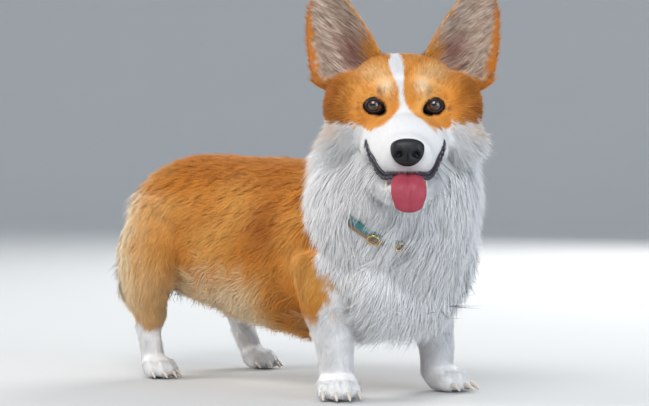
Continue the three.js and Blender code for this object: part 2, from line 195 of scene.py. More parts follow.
def to_head(points):
    """Points of the dog's frame in the head's frame."""
    return to_head_way(points - HEAD_AT)


def packed_origin():
    """Where the dog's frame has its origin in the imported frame: the eyes' nodes show it."""
    boxes = [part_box("eye_" + side) for side in SIDES]
    middle = sum((np.array(low) + np.array(high)) / 2 for low, high in boxes) / 2 / MM
    eyes = from_head(np.array([0, EYE_DEPTH, 0]))
    return np.array([middle[0] - eyes[0], middle[1] - eyes[1], 0])


ORIGIN = packed_origin()


# Forms

class Tube:
    """A round body through stations of x, y, z, half width and half depth, domed at both ends.

    `place` takes how far round and how far along, 0 to 1. A point is the centre line's point, plus its
    direction times the dome's reach, plus the two directions square to it times the half width and depth
    there and the cosine and sine of the angle, each raised to 2 / square."""

    def __init__(self, stations, side=(1, 0, 0), steps=10, dome=3, ends=(20, 20), square=2, pear=0):
        self.stations = np.array(stations, float)
        self.side = np.array(side, float)
        self.steps, self.dome, self.ends, self.square, self.pear = steps, dome, ends, square, pear

    def place(self, around, along, grow=0.0):
        """Points of the surface, or of one that lies `grow` outside it."""
        around, along = np.broadcast_arrays(np.asarray(around, float), np.asarray(along, float))
        rows = self.steps + 2 * self.dome
        row = along * rows
        u = np.clip((row - self.dome) / self.steps, 0, 1)
        before = np.clip(1 - row / self.dome, 0, None)
        after = np.clip(1 - (rows - row) / self.dome, 0, None)
        bend = np.maximum(before, after) * math.pi / 2
        reach = np.where(before > 0, -(self.ends[0] + grow), self.ends[1] + grow) * np.sin(bend)
        centre = self.stations[:, :3]
        ahead = unit(curve(centre, np.minimum(u + 0.01, 1)) - curve(centre, np.maximum(u - 0.01, 0)))
        across = unit(self.side - ahead * (ahead @ self.side)[..., None])
        up = np.cross(across, ahead)
        c, s = np.cos(2 * math.pi * around), np.sin(2 * math.pi * around)
        half = (curve(self.stations[:, 3], u) + grow) * np.cos(bend)
        deep = (curve(self.stations[:, 4], u) + grow) * np.cos(bend)
        wide = blunted(c, 2 / self.square) * half * (1 - self.pear * s)
        tall = blunted(s, 2 / self.square) * deep
        return curve(centre, u) + ahead * reach[..., None] + across * wide[..., None] + up * tall[..., None]

    def grid(self, around=64, along=48, grow=0.0):
        """The whole surface as rows of points, from one end to the other."""
        return self.place(np.arange(around) / around, np.linspace(0, 1, along)[:, None], grow)


TRUNK = Tube(
    [
        [10, -200, 166, 89, 77],
        [5, -150, 171, 99, 97],
        [2, -90, 167, 97, 103],
        [0, -20, 168, 97, 101],
        [0, 50, 173, 95, 97],
        [0, 120, 180, 94, 91],
        [0, 185, 186, 96, 85],
        [0, 232, 180, 86, 68],
    ],
    ends=(36, 44), square=2.3,
)
TAIL = Tube(
    [[0, 240, 226, 20, 18], [0, 264, 232, 18, 16], [0, 284, 226, 13, 12]],
    steps=2, dome=2, ends=(14, 10),
)
NECK = Tube(
    [
        [-44, -226, 318, 52, 48],
        [-38, -218, 285, 74, 66],
        [-26, -203, 248, 86, 79],
        [-10, -182, 212, 90, 82],
        [0, -162, 180, 88, 80],
    ],
    side=(0.9, -0.44, 0), steps=8, ends=(8, 30),
)
SKULL = Tube(
    [[0, 14, -12, 54, 38], [0, 32, -7, 64, 55], [0, 55, -6, 68, 62], [0, 82, -8, 58, 54]],
    steps=6, ends=(21, 26),
)
MUZZLE = Tube(
    [[0, 12, -34, 50, 30], [0, -20, -41, 44, 32], [0, -46, -50, 33, 26], [0, -66, -53, 28, 23]],
    side=(-1, 0, 0), steps=6, ends=(20, 15), pear=0.16, square=2.3,
)
JAW = Tube(
    [[0, 20, -74, 40, 26], [0, -16, -80, 36, 20], [0, -46, -87, 28, 13], [0, -62, -90, 22, 9.5]],
    steps=4, dome=2, ends=(16, 12), square=2.2,
)
CHEEK = {"at": (57, 36, -10), "size": (35, 36, 48), "hair": (9, 4, 4)}
NOSE = Tube(
    [[0, -72, -48.5, 16, 13.5], [0, -83, -49.5, 17.4, 15]],
    side=(-1, 0, 0), steps=1, ends=(5, 8), pear=-0.2, square=2.3,
)
TONGUE = Tube(
    [
        [1, -18, -66, 17, 4.6],
        [1, -50, -73, 16.5, 4.6],
        [1, -70, -77, 16.5, 4.4],
        [1.2, -84, -84, 18.4, 4],
        [1.5, -88.5, -95, 18.4, 3.6],
        [1.5, -88, -104, 15.5, 3.2],
    ],
    side=(-1, 0, 0), steps=9, dome=2, ends=(8, 9), square=2.4,
)

# The line of the mouth from its corner forwards and back, as y and z on the side of the muzzle
MOUTH = np.array([[-21, -37], [-32, -47], [-47, -63], [-62, -72], [-78, -72], [-100, -71]], float)
BEHIND_MOUTH = [[-14, -60], [0, -90], [60, -120]]
MOUTH_OPEN = 2.6

# Toes by x, y and spread in the paw's own frame; legs by ankle, turn in degrees and size of the foot
TOES = [(-17.5, -30, -4), (-6.4, -40, -1), (6.4, -40, 1), (17.5, -30, 4)]
LEGS = {
    "foreleg_right": {"ankle": (-68, -153), "turn": -29, "foot": 1.04, "lean": 0, "side": RIGHT},
    "foreleg_left": {"ankle": (83, -152), "turn": 22, "foot": 1.04, "lean": 0, "side": LEFT},
    "hindleg_right": {"ankle": (-84, 182), "turn": -6, "foot": 0.9, "lean": 4, "side": RIGHT},
    "hindleg_left": {"ankle": (84, 204), "turn": 4, "foot": 0.9, "lean": 22, "side": LEFT},
}


# How far above the floor the lowest points stay, in mm
ABOVE_FLOOR = {"forms": 0.8, "skin": 0.4, "hair": 0.3}


def toe(x, front, spread):
    """A toe of the paw's own frame, ankle over the origin and toes towards -Y."""
    return Tube(
        [
            [x * 0.62, front + 34, 20, 7.9, 9],
            [x * 0.9, front + 19, 18, 7.9, 11],
            [x, front + 8, 10, 7.9, 10.9],
            [x + spread * 0.3, front + 5, 8.6, 6.9, 9.4],
        ],
        steps=2, dome=2, ends=(6, 6),
    )


def heel():
    """The back of a paw, on which the ankle stands."""
    return Tube(
        [[0, 6, 26, 17, 15], [0, -6, 16, 21, 17.5], [0, -18, 11, 22, 13.5]],
        steps=3, dome=2, ends=(12, 8), square=2.3,
    )


def claw(x, front, spread):
    """The claw of a toe, narrowing and turned down to its tip."""
    return Tube(
        [
            [x + spread * 0.3, front + 4, 9.4, 2.6, 3.2],
            [x + spread * 0.5, front - 2.5, 8.2, 2.3, 2.8],
            [x + spread * 0.7, front - 7.5, 4.7, 1.3, 1.5],
        ],
        steps=2, dome=1, ends=(1, 3),
    )


def from_paw(points, leg):
    """Points of a paw's own frame in the dog's frame: sized, turned about Z and set at the ankle."""
    turned = points * leg["foot"] @ turn_about_z(math.radians(leg["turn"])).T
    return turned + np.array([*leg["ankle"], 0])


def foreleg(leg):
    """A foreleg from the shoulder to the ankle, which follows a foot that stands farther out."""
    (x, y), side = leg["ankle"], leg["side"]
    out = x - side * 74
    return Tube(
        [
            [side * 64 + 0.6 * out, -134, 152, 42, 48],
            [side * 70 + 0.8 * out, -138, 118, 34, 37],
            [side * 72 + 0.9 * out, y * 0.45 - 138 * 0.55, 84, 26, 27],
            [x, y + 1, 54, 21.5, 22],
            [x, y - 1, 26, 20.5, 19],
        ],
        steps=6, dome=2, ends=(26, 10),
    )


def hindleg(leg):
    """A hindleg from the thigh over the hock, which is set back by its lean, to the ankle."""
    (x, y), side, lean = leg["ankle"], leg["side"], leg["lean"]
    return Tube(
        [
            [side * 58, 182, 196, 44, 60],
            [side * 78, 186 + 0.2 * lean, 152, 36, 62],
            [side * 87, 190 + 0.6 * lean, 112, 27, 44],
            [x * 0.6 + side * 86 * 0.4, y + 5 + lean, 80, 20, 27],
            [x, y + 9 + 0.7 * lean, 56, 17, 19],
            [x, y + 3 + 0.2 * lean, 27, 16.5, 17],
        ],
        steps=8, dome=2, ends=(28, 10),
    )


def ball(at, size, around=48, along=32):
    """A grid on an ellipsoid: centre plus size times the sphere's point."""
    a = full_turn(around)
    b = np.linspace(0, math.pi, along)[:, None]
    return np.array(at) + stacked(np.sin(b) * np.cos(a), np.sin(b) * np.sin(a), -np.cos(b)) * np.array(size)


# The length of an ear's round tip, how far from the tip to the root it is widest, the share of its half
# width on the inner side, and how far the blade goes past its outline and stands outside its root
EAR_TIP = 26
EAR_WIDEST = 0.86
EAR_INNER = 0.83
EAR_GROWN = 2.0
EAR_OUT = 2.0


def ear_spread(from_tip):
    """Half width of an ear at a distance from its tip: a round tip, times a quarter of a sine that widens
    it, times a smooth step that draws it in to the root."""
    share = np.clip(from_tip / EAR["length"], 0, 1)
    round_tip = np.sqrt(np.clip(1 - (1 - np.clip(from_tip / EAR_TIP, 0, 1)) ** 2, 0, 1))
    widening = 0.36 + 0.72 * np.sin(np.clip(share / EAR_WIDEST, 0, 1) * math.pi / 2)
    return 1 + EAR["half"] * round_tip * widening * (1 - 0.25 * ramp(share, EAR_WIDEST, 1.0))


def ear_grid(side, around=80, along=90):
    """An ear's blade: across, it bows back by a parabola of the cup's depth, and its thickness is a power
    of the sine round the edge. It is then opened, leant and set on its root."""
    angle = full_turn(around)
    even = np.linspace(0, 1, along)[:, None]
    up = 0.5 * even + 0.25 * (1 - np.cos(math.pi * even))
    spread = ear_spread((1 - up) * EAR["length"])
    pole = (up == 0) | (up == 1)
    half = np.where(pole, 0, spread + EAR_GROWN)
    x = np.cos(angle) * half * np.where(side * np.cos(angle) < 0, EAR_INNER, 1)
    deep = EAR["cup"] * np.clip(spread / EAR["half"], 0, 1.1) ** 1.4
    y = (1 - (x / spread) ** 2) * deep + blunted(np.sin(angle), 0.7) * np.where(pole, 0, EAR["thick"] / 2)
    z = np.broadcast_to(up * EAR["length"], x.shape)
    x, y = rotated(x, y, side * EAR["open"])
    x, z = rotated(x, z, -side * EAR["lean"])
    root_x, root_y, root_z = EAR["root"]
    return np.stack([x + side * (root_x + EAR_OUT), y + root_y, z + root_z], -1)


def mouth_height(y):
    """Height of the line of the mouth at y; behind its corner the line drops away steeply."""
    return line_at([*MOUTH[::-1], *BEHIND_MOUTH], y)


def flesh():
    """Every form of the body by name, as closed grids in the dog's frame. Each is shrunk or grown by a few
    millimetres, so that the tips of its coat come out where the solid ends."""
    forms = {"trunk": TRUNK.grid(96, 80, -6), "tail": TAIL.grid(40, 24, -5), "neck": NECK.grid(96, 64, -2)}
    skull = SKULL.grid(96, 64, 0.5)
    muzzle = MUZZLE.grid(96, 64, -1)
    muzzle[..., 2] = np.maximum(muzzle[..., 2], mouth_height(muzzle[..., 1]) + 0.4)
    jaw = JAW.grid(72, 56, 0)
    jaw[..., 2] = np.minimum(jaw[..., 2], mouth_height(jaw[..., 1]) - MOUTH_OPEN)
    forms["skull"], forms["muzzle"], forms["jaw"] = from_head(skull), from_head(muzzle), from_head(jaw)
    for name, side in SIDES.items():
        x, y, z = CHEEK["at"]
        size = np.array(CHEEK["size"]) - np.array(CHEEK["hair"])
        forms["cheek_" + name] = from_head(ball((side * x, y, z), size))
    for name, leg in LEGS.items():
        fore = name.startswith("fore")
        forms[name] = (foreleg(leg) if fore else hindleg(leg)).grid(56, 56, -1.5 if fore else -3)
        paws = name.replace("leg", "paw")
        forms[paws] = from_paw(heel().grid(40, 28, -1.5), leg)
        for i, each in enumerate(TOES):
            forms[f"{paws}_toe_{i + 1}"] = from_paw(toe(*each).grid(28, 28, -1.2), leg)
    for grid in forms.values():
        grid[..., 2] = np.maximum(grid[..., 2], ABOVE_FLOOR["forms"])
    return forms


# Meshes

def ring_quads(rows, columns, back_to_start=False):
    """Quads of a grid whose rows close round. Back at its start, its last row joins the first."""
    starts = columns * np.arange(rows if back_to_start else rows - 1)[:, None]
    first = starts + np.arange(columns)
    second = starts + (np.arange(columns) + 1) % columns
    corners = np.stack([first, second, second + columns, first + columns], -1)
    return corners.reshape(-1, 4) % (rows * columns)


def listed(grid):
    """The rows of a grid as one list, with a single point for its first row and one for its last."""
    return np.concatenate([grid[:1, 0], grid[1:-1].reshape(-1, 3), grid[-1:, 0]])


def closed(grid):
    """Points and faces of a grid whose first and last rows are poles, closed round, facing out."""
    rows, columns = grid.shape[:2]
    points = listed(grid)
    column = np.arange(columns)
    following = (column + 1) % columns
    end = len(points) - 1
    base = end - columns
    low = np.stack([np.zeros(columns, int), 1 + following, 1 + column], -1)
    high = np.stack([np.full(columns, end), base + column, base + following], -1)
    return facing_out(points, [1 + ring_quads(rows - 2, columns), np.concatenate([low, high])])


def facing_out(points, faces):
    """The same faces, turned round if the volume that they enclose comes out negative."""
    volume = 0.0
    for block in faces:
        for k in range(1, block.shape[1] - 1):
            a, b, c = points[block[:, 0]], points[block[:, k]], points[block[:, k + 1]]
            volume += np.einsum("ij,ij->", a, np.cross(b, c))
    return points, faces if volume > 0 else [block[:, ::-1] for block in faces]


def joined(parts):
    """Several (points, faces) as one; face blocks of one width are put together."""
    points, blocks, count = [], {}, 0
    for these, faces in parts:
        for block in faces:
            blocks.setdefault(block.shape[1], []).append(block + count)
        points.append(these)
        count += len(these)
    return np.concatenate(points), [np.concatenate(blocks[width]) for width in sorted(blocks)]


def raw_mesh(name, points, faces):
    """A Blender mesh of those points, in metres, and faces."""
    mesh = bpy.data.meshes.new(name)
    mesh.vertices.add(len(points))
    mesh.vertices.foreach_set("co", points.astype(np.float32).ravel())
    corners = np.concatenate([block.ravel() for block in faces]).astype(np.int32)
    sizes = np.concatenate([np.full(len(block), block.shape[1]) for block in faces])
    mesh.loops.add(len(corners))
    mesh.loops.foreach_set("vertex_index", corners)
    mesh.polygons.add(len(sizes))
    mesh.polygons.foreach_set("loop_start", (np.cumsum(sizes) - sizes).astype(np.int32))
    mesh.update(calc_edges=True)
    mesh.validate()
    return mesh


def piece(name, points, faces, slot, material, replaces=()):
    """An object from points in the dog's frame. It rides on the root body and may stand for nodes."""
    mesh = raw_mesh(name, (points + ORIGIN) * MM, faces)
    mesh.shade_smooth()
    mesh.materials.append(material)
    made = bpy.data.objects.new(name, mesh)
    bpy.context.scene.collection.objects.link(made)
    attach(made, "root")
    if replaces:
        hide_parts(*replaces)
    return made


def paint(mesh, name, colours):
    """A colour at each point, kept in the mesh for its material."""
    attribute = mesh.color_attributes.new(name, "FLOAT_COLOR", "POINT")
    rgba = np.concatenate([colours, np.ones((len(colours), 1))], 1).astype(np.float32)
    attribute.data.foreach_set("color", rgba.ravel())


def kept_value(mesh, name, values):
    """A number at each point, kept in the mesh for its material."""
    attribute = mesh.attributes.new(name, "FLOAT", "POINT")
    attribute.data.foreach_set("value", values.astype(np.float32))


# Materials

class Sum:
    """A socket in an expression of a material: + - and * add Math nodes, with numbers on either side."""

    def __init__(self, shop, socket):
        self.shop, self.socket = shop, socket

    def _with(self, operation, a, b):
        """The Math node of that operation on two sums or numbers."""
        return self.shop.node("ShaderNodeMath", {"operation": operation}, {0: a, 1: b})["Value"]

    def __add__(self, other):
        return self._with("ADD", self, other)

    def __radd__(self, other):
        return self._with("ADD", other, self)

    def __sub__(self, other):
        return self._with("SUBTRACT", self, other)

    def __rsub__(self, other):
        return self._with("SUBTRACT", other, self)

    def __mul__(self, other):
        return self._with("MULTIPLY", self, other)

    def __rmul__(self, other):
        return self._with("MULTIPLY", other, self)


class Shop:
    """Where one material is put together."""

    def __init__(self, name):
        self.material = bpy.data.materials.new(name)
        self.material.use_nodes = True
        self.tree = self.material.node_tree
        self.shader = self.tree.nodes["Principled BSDF"]

    def node(self, kind, settings, sockets):
        """A node, set up first and then given its values or links; its outputs as sums by name."""
        made = self.tree.nodes.new(kind)
        for key, value in settings.items():
            setattr(made, key, value)
        for key, value in sockets.items():
            self.give(made.inputs[key], value)
        return {output.name: Sum(self, output) for output in made.outputs if output.enabled}

    def give(self, socket, value):
        """Links a sum to the socket, or sets the socket's own value."""
        if isinstance(value, Sum):
            self.tree.links.new(value.socket, socket)
        else:
            socket.default_value = value

    def set(self, **values):
        """Values or links of the shader's own sockets, with _ for a space in their names."""
        for key, value in values.items():
            self.give(self.shader.inputs[key.replace("_", " ")], value)

    def place(self):
        """The point's place on the piece, in metres."""
        return self.node("ShaderNodeTexCoord", {}, {})["Object"]

    def noise(self, scale, detail):
        """Smooth noise from 0 to 1, with that many waves to a metre."""
        sockets = {"Scale": scale, "Detail": detail, "Roughness": 0.6, "Vector": self.place()}
        return self.node("ShaderNodeTexNoise", {}, sockets)["Fac"]

    def cells(self, scale, feature):
        """Distance from the middles of random cells, with that many to a metre."""
        sockets = {"Scale": scale, "Vector": self.place()}
        return self.node("ShaderNodeTexVoronoi", {"feature": feature}, sockets)["Distance"]

    def blend(self, a, b, share, mode="MIX"):
        """One colour blended over another by a share."""
        factor, first, second = 0, 6, 7
        sockets = {factor: share, first: a, second: b}
        return self.node("ShaderNodeMix", {"data_type": "RGBA", "blend_type": mode}, sockets)["Result"]

    def mottle(self, low, high, scale, detail):
        """Gives the shader a colour between two tones, and returns the noise by which it wanders."""
        noise = self.noise(scale, detail)
        self.set(Base_Color=self.blend(colour(low), colour(high), noise))
        return noise

    def shaded_marks(self, shade, share):
        """Gives the shader the colours that are kept in the mesh, multiplied by a shade to some share."""
        marks = self.node("ShaderNodeAttribute", {"attribute_name": "Markings"}, {})["Color"]
        self.set(Base_Color=self.blend(marks, colour(shade), share, "MULTIPLY"))

    def bump(self, height, distance, strength):
        """Leans the shader's normal by a height."""
        sockets = {"Height": height, "Distance": distance, "Strength": strength}
        self.set(Normal=self.node("ShaderNodeBump", {}, sockets)["Normal"])


def colour(rgb):
    """Red, green and blue as a socket takes them."""
    return (*rgb, 1.0)


def fur_material(name):
    """Hair: the colours kept in the mesh, with fine streaks in their brightness."""
    shop = Shop(name)
    shop.shaded_marks((0.80, 0.76, 0.74), shop.noise(900, 2) * 0.6)
    shop.set(Roughness=0.75, Specular_IOR_Level=0.12, Sheen_Weight=0.04, Sheen_Roughness=0.5)
    return shop.material


def skin_material():
    """Skin under the coat: its markings, mottled, with a bump like short lying hair."""
    shop = Shop("skin")
    shop.shaded_marks((0.78, 0.74, 0.71), shop.noise(260, 4) * 0.5 + 0.35)
    shop.set(Roughness=0.75, Specular_IOR_Level=0.2)
    shop.bump(shop.noise(900, 3), 0.0005, 0.5)
    return shop.material


def wet_material(name, low, high, roughness, grain, depth):
    """Moist bare skin: two tones in a fine noise, its grain as a bump, under a clear wet film."""
    shop = Shop(name)
    shop.mottle(low, high, grain, 3)
    shop.set(Roughness=roughness, Specular_IOR_Level=0.3, Coat_Weight=0.12, Coat_Roughness=0.2)
    shop.bump(shop.cells(grain, "SMOOTH_F1"), depth, 0.7)
    return shop.material


def eye_material():
    """The eyeball: the colours kept in its mesh under a clear wet film."""
    shop = Shop("eye")
    shop.shaded_marks((0.75, 0.72, 0.7), shop.noise(500, 3) * 0.4)
    shop.set(Roughness=0.06, Coat_Weight=1.0, Coat_Roughness=0.03)
    return shop.material


# Settings that a user would change

def colour_setting(name, description, default):
    """A colour that a user may change."""
    return bpy.props.FloatVectorProperty(
        name=name, description=description, default=default, size=3, min=0, max=1, subtype="COLOR"
    )


class CORGI_PG_coat(bpy.types.PropertyGroup):
    """Fullness and colours of the coat."""

    fullness: bpy.props.FloatProperty(
        name="Fullness", description="Share of the full number of tufts", default=0.95, min=0.05, max=1.2,
        subtype="FACTOR",
    )
    red: colour_setting("Red", "Main colour of the back and the head", (0.66, 0.245, 0.034))
    deep_red: colour_setting("Deep red", "Darker hair of the saddle", (0.38, 0.112, 0.015))
    gold: colour_setting("Gold", "Lighter hair of the flanks and the face", (0.80, 0.40, 0.10))
    cream: colour_setting("Cream", "Rear edge, belly and brows", (0.88, 0.70, 0.46))
    # The white is a little blue: a painted cast of cool sky light in shade.
    white: colour_setting("White", "Chest, blaze and legs", (0.90, 0.912, 0.93))
    dark: colour_setting("Dark skin", "Rims of eyes and lips", (0.012, 0.010, 0.011))


class CORGI_PG_face(bpy.types.PropertyGroup):
    """Colours of the bare parts of the face, and the whiskers."""

    iris: colour_setting("Iris", "Brown of the eye", (0.070, 0.030, 0.016))
    tongue: colour_setting("Tongue", "Pink of the tongue", (0.33, 0.034, 0.056))
    whisker: bpy.props.FloatProperty(
        name="Whisker", description="Length of the longest whisker", default=0.045, min=0.005, unit="LENGTH"
    )


class CORGI_PG_collar(bpy.types.PropertyGroup):
    """Colours of the collar."""

    upper: colour_setting("Upper", "Webbing along the upper edge", (0.02, 0.26, 0.27))
    lower: colour_setting("Lower", "Webbing along the lower edge", (0.60, 0.25, 0.09))


class CORGI_PG_stage(bpy.types.PropertyGroup):
    """Floor and camera."""

    floor: colour_setting("Floor", "Pale floor", (0.58, 0.58, 0.575))
    lens: bpy.props.FloatProperty(
        name="Lens", description="Focal length in mm on a 36 mm sensor", default=143.28, min=10
    )


def tones(settings):
    """The coat's colours as arrays: red, deep red, gold, cream, white and dark skin."""
    names = ("red", "deep_red", "gold", "cream", "white", "dark")
    return [np.array(getattr(settings, name)) for name in names]


# Markings

# The blaze's middle and half width by height on the face, the height of the white's upper edge by distance
# from the middle of the face, and the y at which the white of the shoulders ends by height above the floor
BLAZE_MIDDLE = ((-5, -0.5), (10, -3.5), (27, -5), (40, -8), (60, -8.4))
BLAZE_HALF = (
    (-30, 34), (-22, 23), (-12, 12.5), (-4, 5), (2, 2.6), (12, 2.0),
    (27, 4.3), (34, 7), (46, 7), (58, 2.5), (64, -6),
)
WHITE_EDGE = ((0, 0), (12, -12), (22, -20.7), (33, -27), (45, -25), (60, -18), (75, -14), (95, -18))
SHOULDER_EDGE = (
    (60, -120), (88, -130), (100, -160), (140, -168), (160, -157), (180, -150), (195, -164), (245, -132),
)

# Spots of the face, alike on both sides: distance from its middle and height, and their size both ways
FACE_SPOTS = {
    "under_eye": ((40, -16), (16, 9)),
    "brow": ((19, 20), (7.5, 9)),
    "over_eye": ((33, 34), (16, 10)),
    "cheek": ((74, -24), (12, 8)),
    "under_nose": ((0, -66), (17, 5)),
    "beside_nose": ((21, -58), (6, 8)),
    "brow_dark": ((25.5, 13), (2.6, 3.6)),
    "eye_corner": ((48, -3), (5.5, 1.6)),
}


def blaze(head):
    """Share of white that the blaze and the white of the muzzle give on the face, from the head's frame."""
    x, y, z = head.T
    stripe = 1 - ramp(np.abs(x - line_at(BLAZE_MIDDLE, z)) - line_at(BLAZE_HALF, z), -1.2, 1.6)
    far = np.abs(x)
    ragged = (2.5 + 3 * ramp(far, 40, 60)) * waves(head, 14, 3)
    below = 1 - ramp(z - line_at(WHITE_EDGE, far) + ragged, -1.5, 2.0)
    return np.maximum(stripe * (y < 60), below)


def ear_place(head):
    """Place on an ear's blade: how far across, 1 at its edge, and how far from root to tip."""
    side = np.where(head[:, 0] < 0, RIGHT, LEFT)
    root_x, root_y, root_z = EAR["root"]
    x, y, z = (head - stacked(side * root_x, root_y, root_z)).T
    x, z = rotated(x, z, side * EAR["lean"])
    x = rotated(x, y, -side * EAR["open"])[0]
    spread = ear_spread(np.clip(EAR["length"] - z, 0, None)) + EAR_GROWN
    return side * x / spread, z / EAR["length"]


def body_colours(points, normals, regions, settings):
    """Colours of trunk, neck and legs: red over gold, deeper on the saddle, cream behind and below, and
    white in front of the shoulders, on the forelegs and below the hocks."""
    red, deep, gold, cream, white = tones(settings)[:5]
    x, y, z = points.T
    streaks = waves(points * np.array([1, 1, 0.35]), 22, 21)
    patches = waves(points * np.array([1, 0.8, 1]), 75, 22)
    lightness = 0.55 + 0.60 * patches + 0.30 * streaks - 0.50 * ramp(z, 215, 255)
    body = mixed(red, gold, np.clip(lightness, 0, 1))
    body = mixed(body, deep, np.clip(0.10 + 0.30 * streaks + 0.40 * ramp(z, 222, 262), 0, 0.6))
    body = mixed(body, gold, 0.6 * ramp(y, 95, 170) * (1 - ramp(z, 196, 240)))
    behind_shoulder = bump_at(evened(points), (95, -60, 200), (60, 30, 36))
    before_thigh = bump_at(evened(points), (95, 128, 130), (60, 16, 40))
    body = mixed(body, deep, 0.88 * np.clip(behind_shoulder + 0.7 * before_thigh, 0, 1))
    stir = 7 * waves(points, 30, 11) + 4 * waves(points, 11, 12)
    low = (1 - ramp(z + stir, 108, 160)) * ramp(y, -70, -10) * (1 - 0.6 * regions["hindleg"])
    body = mixed(body, cream, 0.9 * low)
    rear = ramp(normals[:, 1], -0.7, -0.2) * (1 - ramp(z, 212, 246)) * ramp(z, 66, 100)
    body = mixed(body, cream, rear * (0.34 * ramp(y + stir, 115, 205) + 0.58 * ramp(y + stir, 175, 216)))
    body = mixed(body, white, 0.72 * rear * ramp(y + stir, 212, 250))
    inner = ramp(-normals[:, 0] * np.sign(x), 0.1, 0.6) * (1 - ramp(z, 110, 150))
    body = mixed(body, cream, 0.6 * inner)
    nape = ramp(normals[:, 1] + 0.6 * normals[:, 2], 0.55, 0.95) * ramp(y, -245, -215)
    body = mixed(body, cream, 0.5 * nape * ramp(-x, 20, 60))
    edge = line_at(SHOULDER_EDGE, z) + 26 * ramp(x, 20, 80)
    front = 1 - ramp(y + stir, edge - 5, edge + 5)
    front = front * (1 - nape * (regions["neck"] + regions["trunk"]))
    front = np.maximum(front, (regions["foreleg"] + regions["paw"]) * (1 - ramp(z + 0.5 * stir, 84, 104)))
    hock = 1 - ramp(z - 0.18 * (y - 190) + stir, 62, 74)
    return mixed(body, white, np.clip(front + hock * (regions["hindleg"] + regions["paw"]), 0, 1))


def face_colours(points, normals, regions, settings):
    """Colours of the head: gold and red with a white blaze, muzzle and cheeks, cream brows, dark corners of
    the eyes, and ears with pale hair and bare skin inside a red edge. The sides of the head are partly deep
    red hair and partly painted shade, and its white is darker than the body's white, as painted shade."""
    red, deep, gold, cream, white, dark = tones(settings)
    head = to_head(points)
    far, y, z = evened(head).T
    spots = {name: bump_at(stacked(far, z), *spot) for name, spot in FACE_SPOTS.items()}
    streaks = waves(head * np.array([1, 1, 0.5]), 13, 31)
    face = mixed(red, gold, np.clip(0.42 + 0.30 * waves(head, 42, 32) + 0.34 * streaks, 0, 1))
    face = mixed(face, deep, np.clip(0.30 * waves(head * np.array([1.0, 1.0, 0.6]), 9, 36), 0, 0.35))
    # The sides of the head below the ears: partly their deeper red hair and partly painted shade, in deep
    # red darkened to about 0.8.
    flank = ramp(far, 46, 72) * (1 - ramp(z, 24, 56))
    face = mixed(face, deep * (0.8 + 0.25 * streaks)[:, None], 0.85 * flank)
    crown = ramp(z, 40, 60) * (1 - ramp(far, 25, 50))
    face = mixed(face, deep, 0.45 * crown)
    face = mixed(face, red * 0.92, 0.55 * spots["under_eye"])
    face = mixed(face, cream, 0.9 * spots["brow"] * (y < 40))
    face = mixed(face, cream, 0.35 * spots["over_eye"] * (y < 40))
    # Painted shade: the face's white is 0.86 of the body's white, darker to make up for the stronger light
    # on the face.
    face = mixed(face, white * 0.86, blaze(head))
    face = mixed(face, gold, 0.36 * spots["cheek"])
    face = mixed(face, dark * 16, 0.30 * spots["under_nose"] + 0.14 * spots["beside_nose"])
    ahead = 1 - ramp(y, 18, 30)
    face = mixed(face, dark * 4, 0.7 * ahead * spots["brow_dark"])
    face = mixed(face, dark * 4, 0.6 * ahead * spots["eye_corner"])
    return mixed(face, ear_colours(head, normals, streaks, red, deep, gold), regions["ear"])


def ear_colours(head, normals, streaks, red, deep, gold):
    """Colours of the ears: red and gold outside, and inside pale hair round a patch of bare skin, with an
    edge of red whose line is ragged."""
    across, up = ear_place(head)
    inside = ramp(-to_head_way(normals)[:, 1], 0.1, 0.45)
    bare = mixed(np.array([0.36, 0.24, 0.18]), np.array([0.70, 0.58, 0.48]), 0.5 + 0.6 * waves(head, 8, 33))
    hollow = bump_at(stacked(across, up), (-0.16, 0.26), (0.34, 0.22))
    bare = mixed(bare, np.array([0.24, 0.10, 0.085]), 0.85 * hollow)
    inner = -across + 0.10 + 0.34 * (1 - ramp(up, 0.10, 0.50))
    edge = ramp(np.maximum(across, inner) + 0.10 * waves(head, 9, 34), 0.72, 0.98)
    edge = np.maximum(edge, 1 - ramp(up + 0.04 * waves(head, 9, 35), 0.02, 0.14))
    border = mixed(mixed(red, deep, 0.45 * ramp(across, 0.6, 0.9)), gold, 0.35 * ramp(-across, 0.3, 0.6))
    return mixed(mixed(red, gold, 0.5 + 0.5 * streaks), mixed(bare, border, edge), inside)


def markings(points, normals, regions, settings):
    """Colours of skin and coat at points of the dog's frame, from where they lie on the body."""
    body = body_colours(points, normals, regions, settings)
    return np.clip(mixed(body, face_colours(points, normals, regions, settings), regions["head"]), 0, 1)


# Skin

# Size of the voxels that join the forms, how far a form's region reaches, over what distance regions blend,
# and how many of a form's points stand for it
SKIN_VOXEL = 2.85
REACH = 24.0
BLEND = 5.0
SAMPLES = 1400


def nearest(points, targets, rows=3000):
    """Distance from each point to the nearest of the targets, by blocks of squared distances."""
    middle = targets.mean(0)
    points, targets = (points - middle).astype(np.float32), (targets - middle).astype(np.float32)
    squares = (targets**2).sum(-1)
    found = [
        (block**2).sum(-1) + (squares - 2 * block @ targets.T).min(-1)
        for block in np.array_split(points, max(1, len(points) // rows))
    ]
    return np.sqrt(np.maximum(np.concatenate(found), 0)).astype(float)


def regions_of(points, forms):
    """Share of each region at the points: exp of minus the distance to its forms over the blend, shared out
    to 1. A form counts only for the points within reach of its box. Its name's first word is its region."""
    shares = {region: np.full(len(points), 1e-6) for region in COAT}
    for name, grid in forms.items():
        flat = grid.reshape(-1, 3)
        near = ((points > flat.min(0) - REACH) & (points < flat.max(0) + REACH)).all(1)
        distance = nearest(points[near], flat[:: max(1, len(flat) // SAMPLES)])
        word = name.split("_")[0]
        share = shares["paw" if word.endswith("paw") else word]
        share[near] = np.maximum(share[near], np.exp(-distance / BLEND))
    total = sum(shares.values())
    shares = {region: share / total for region, share in shares.items()}
    shares["head"] = sum(shares[region] for region in ("skull", "muzzle", "jaw", "cheek", "ear"))
    return shares


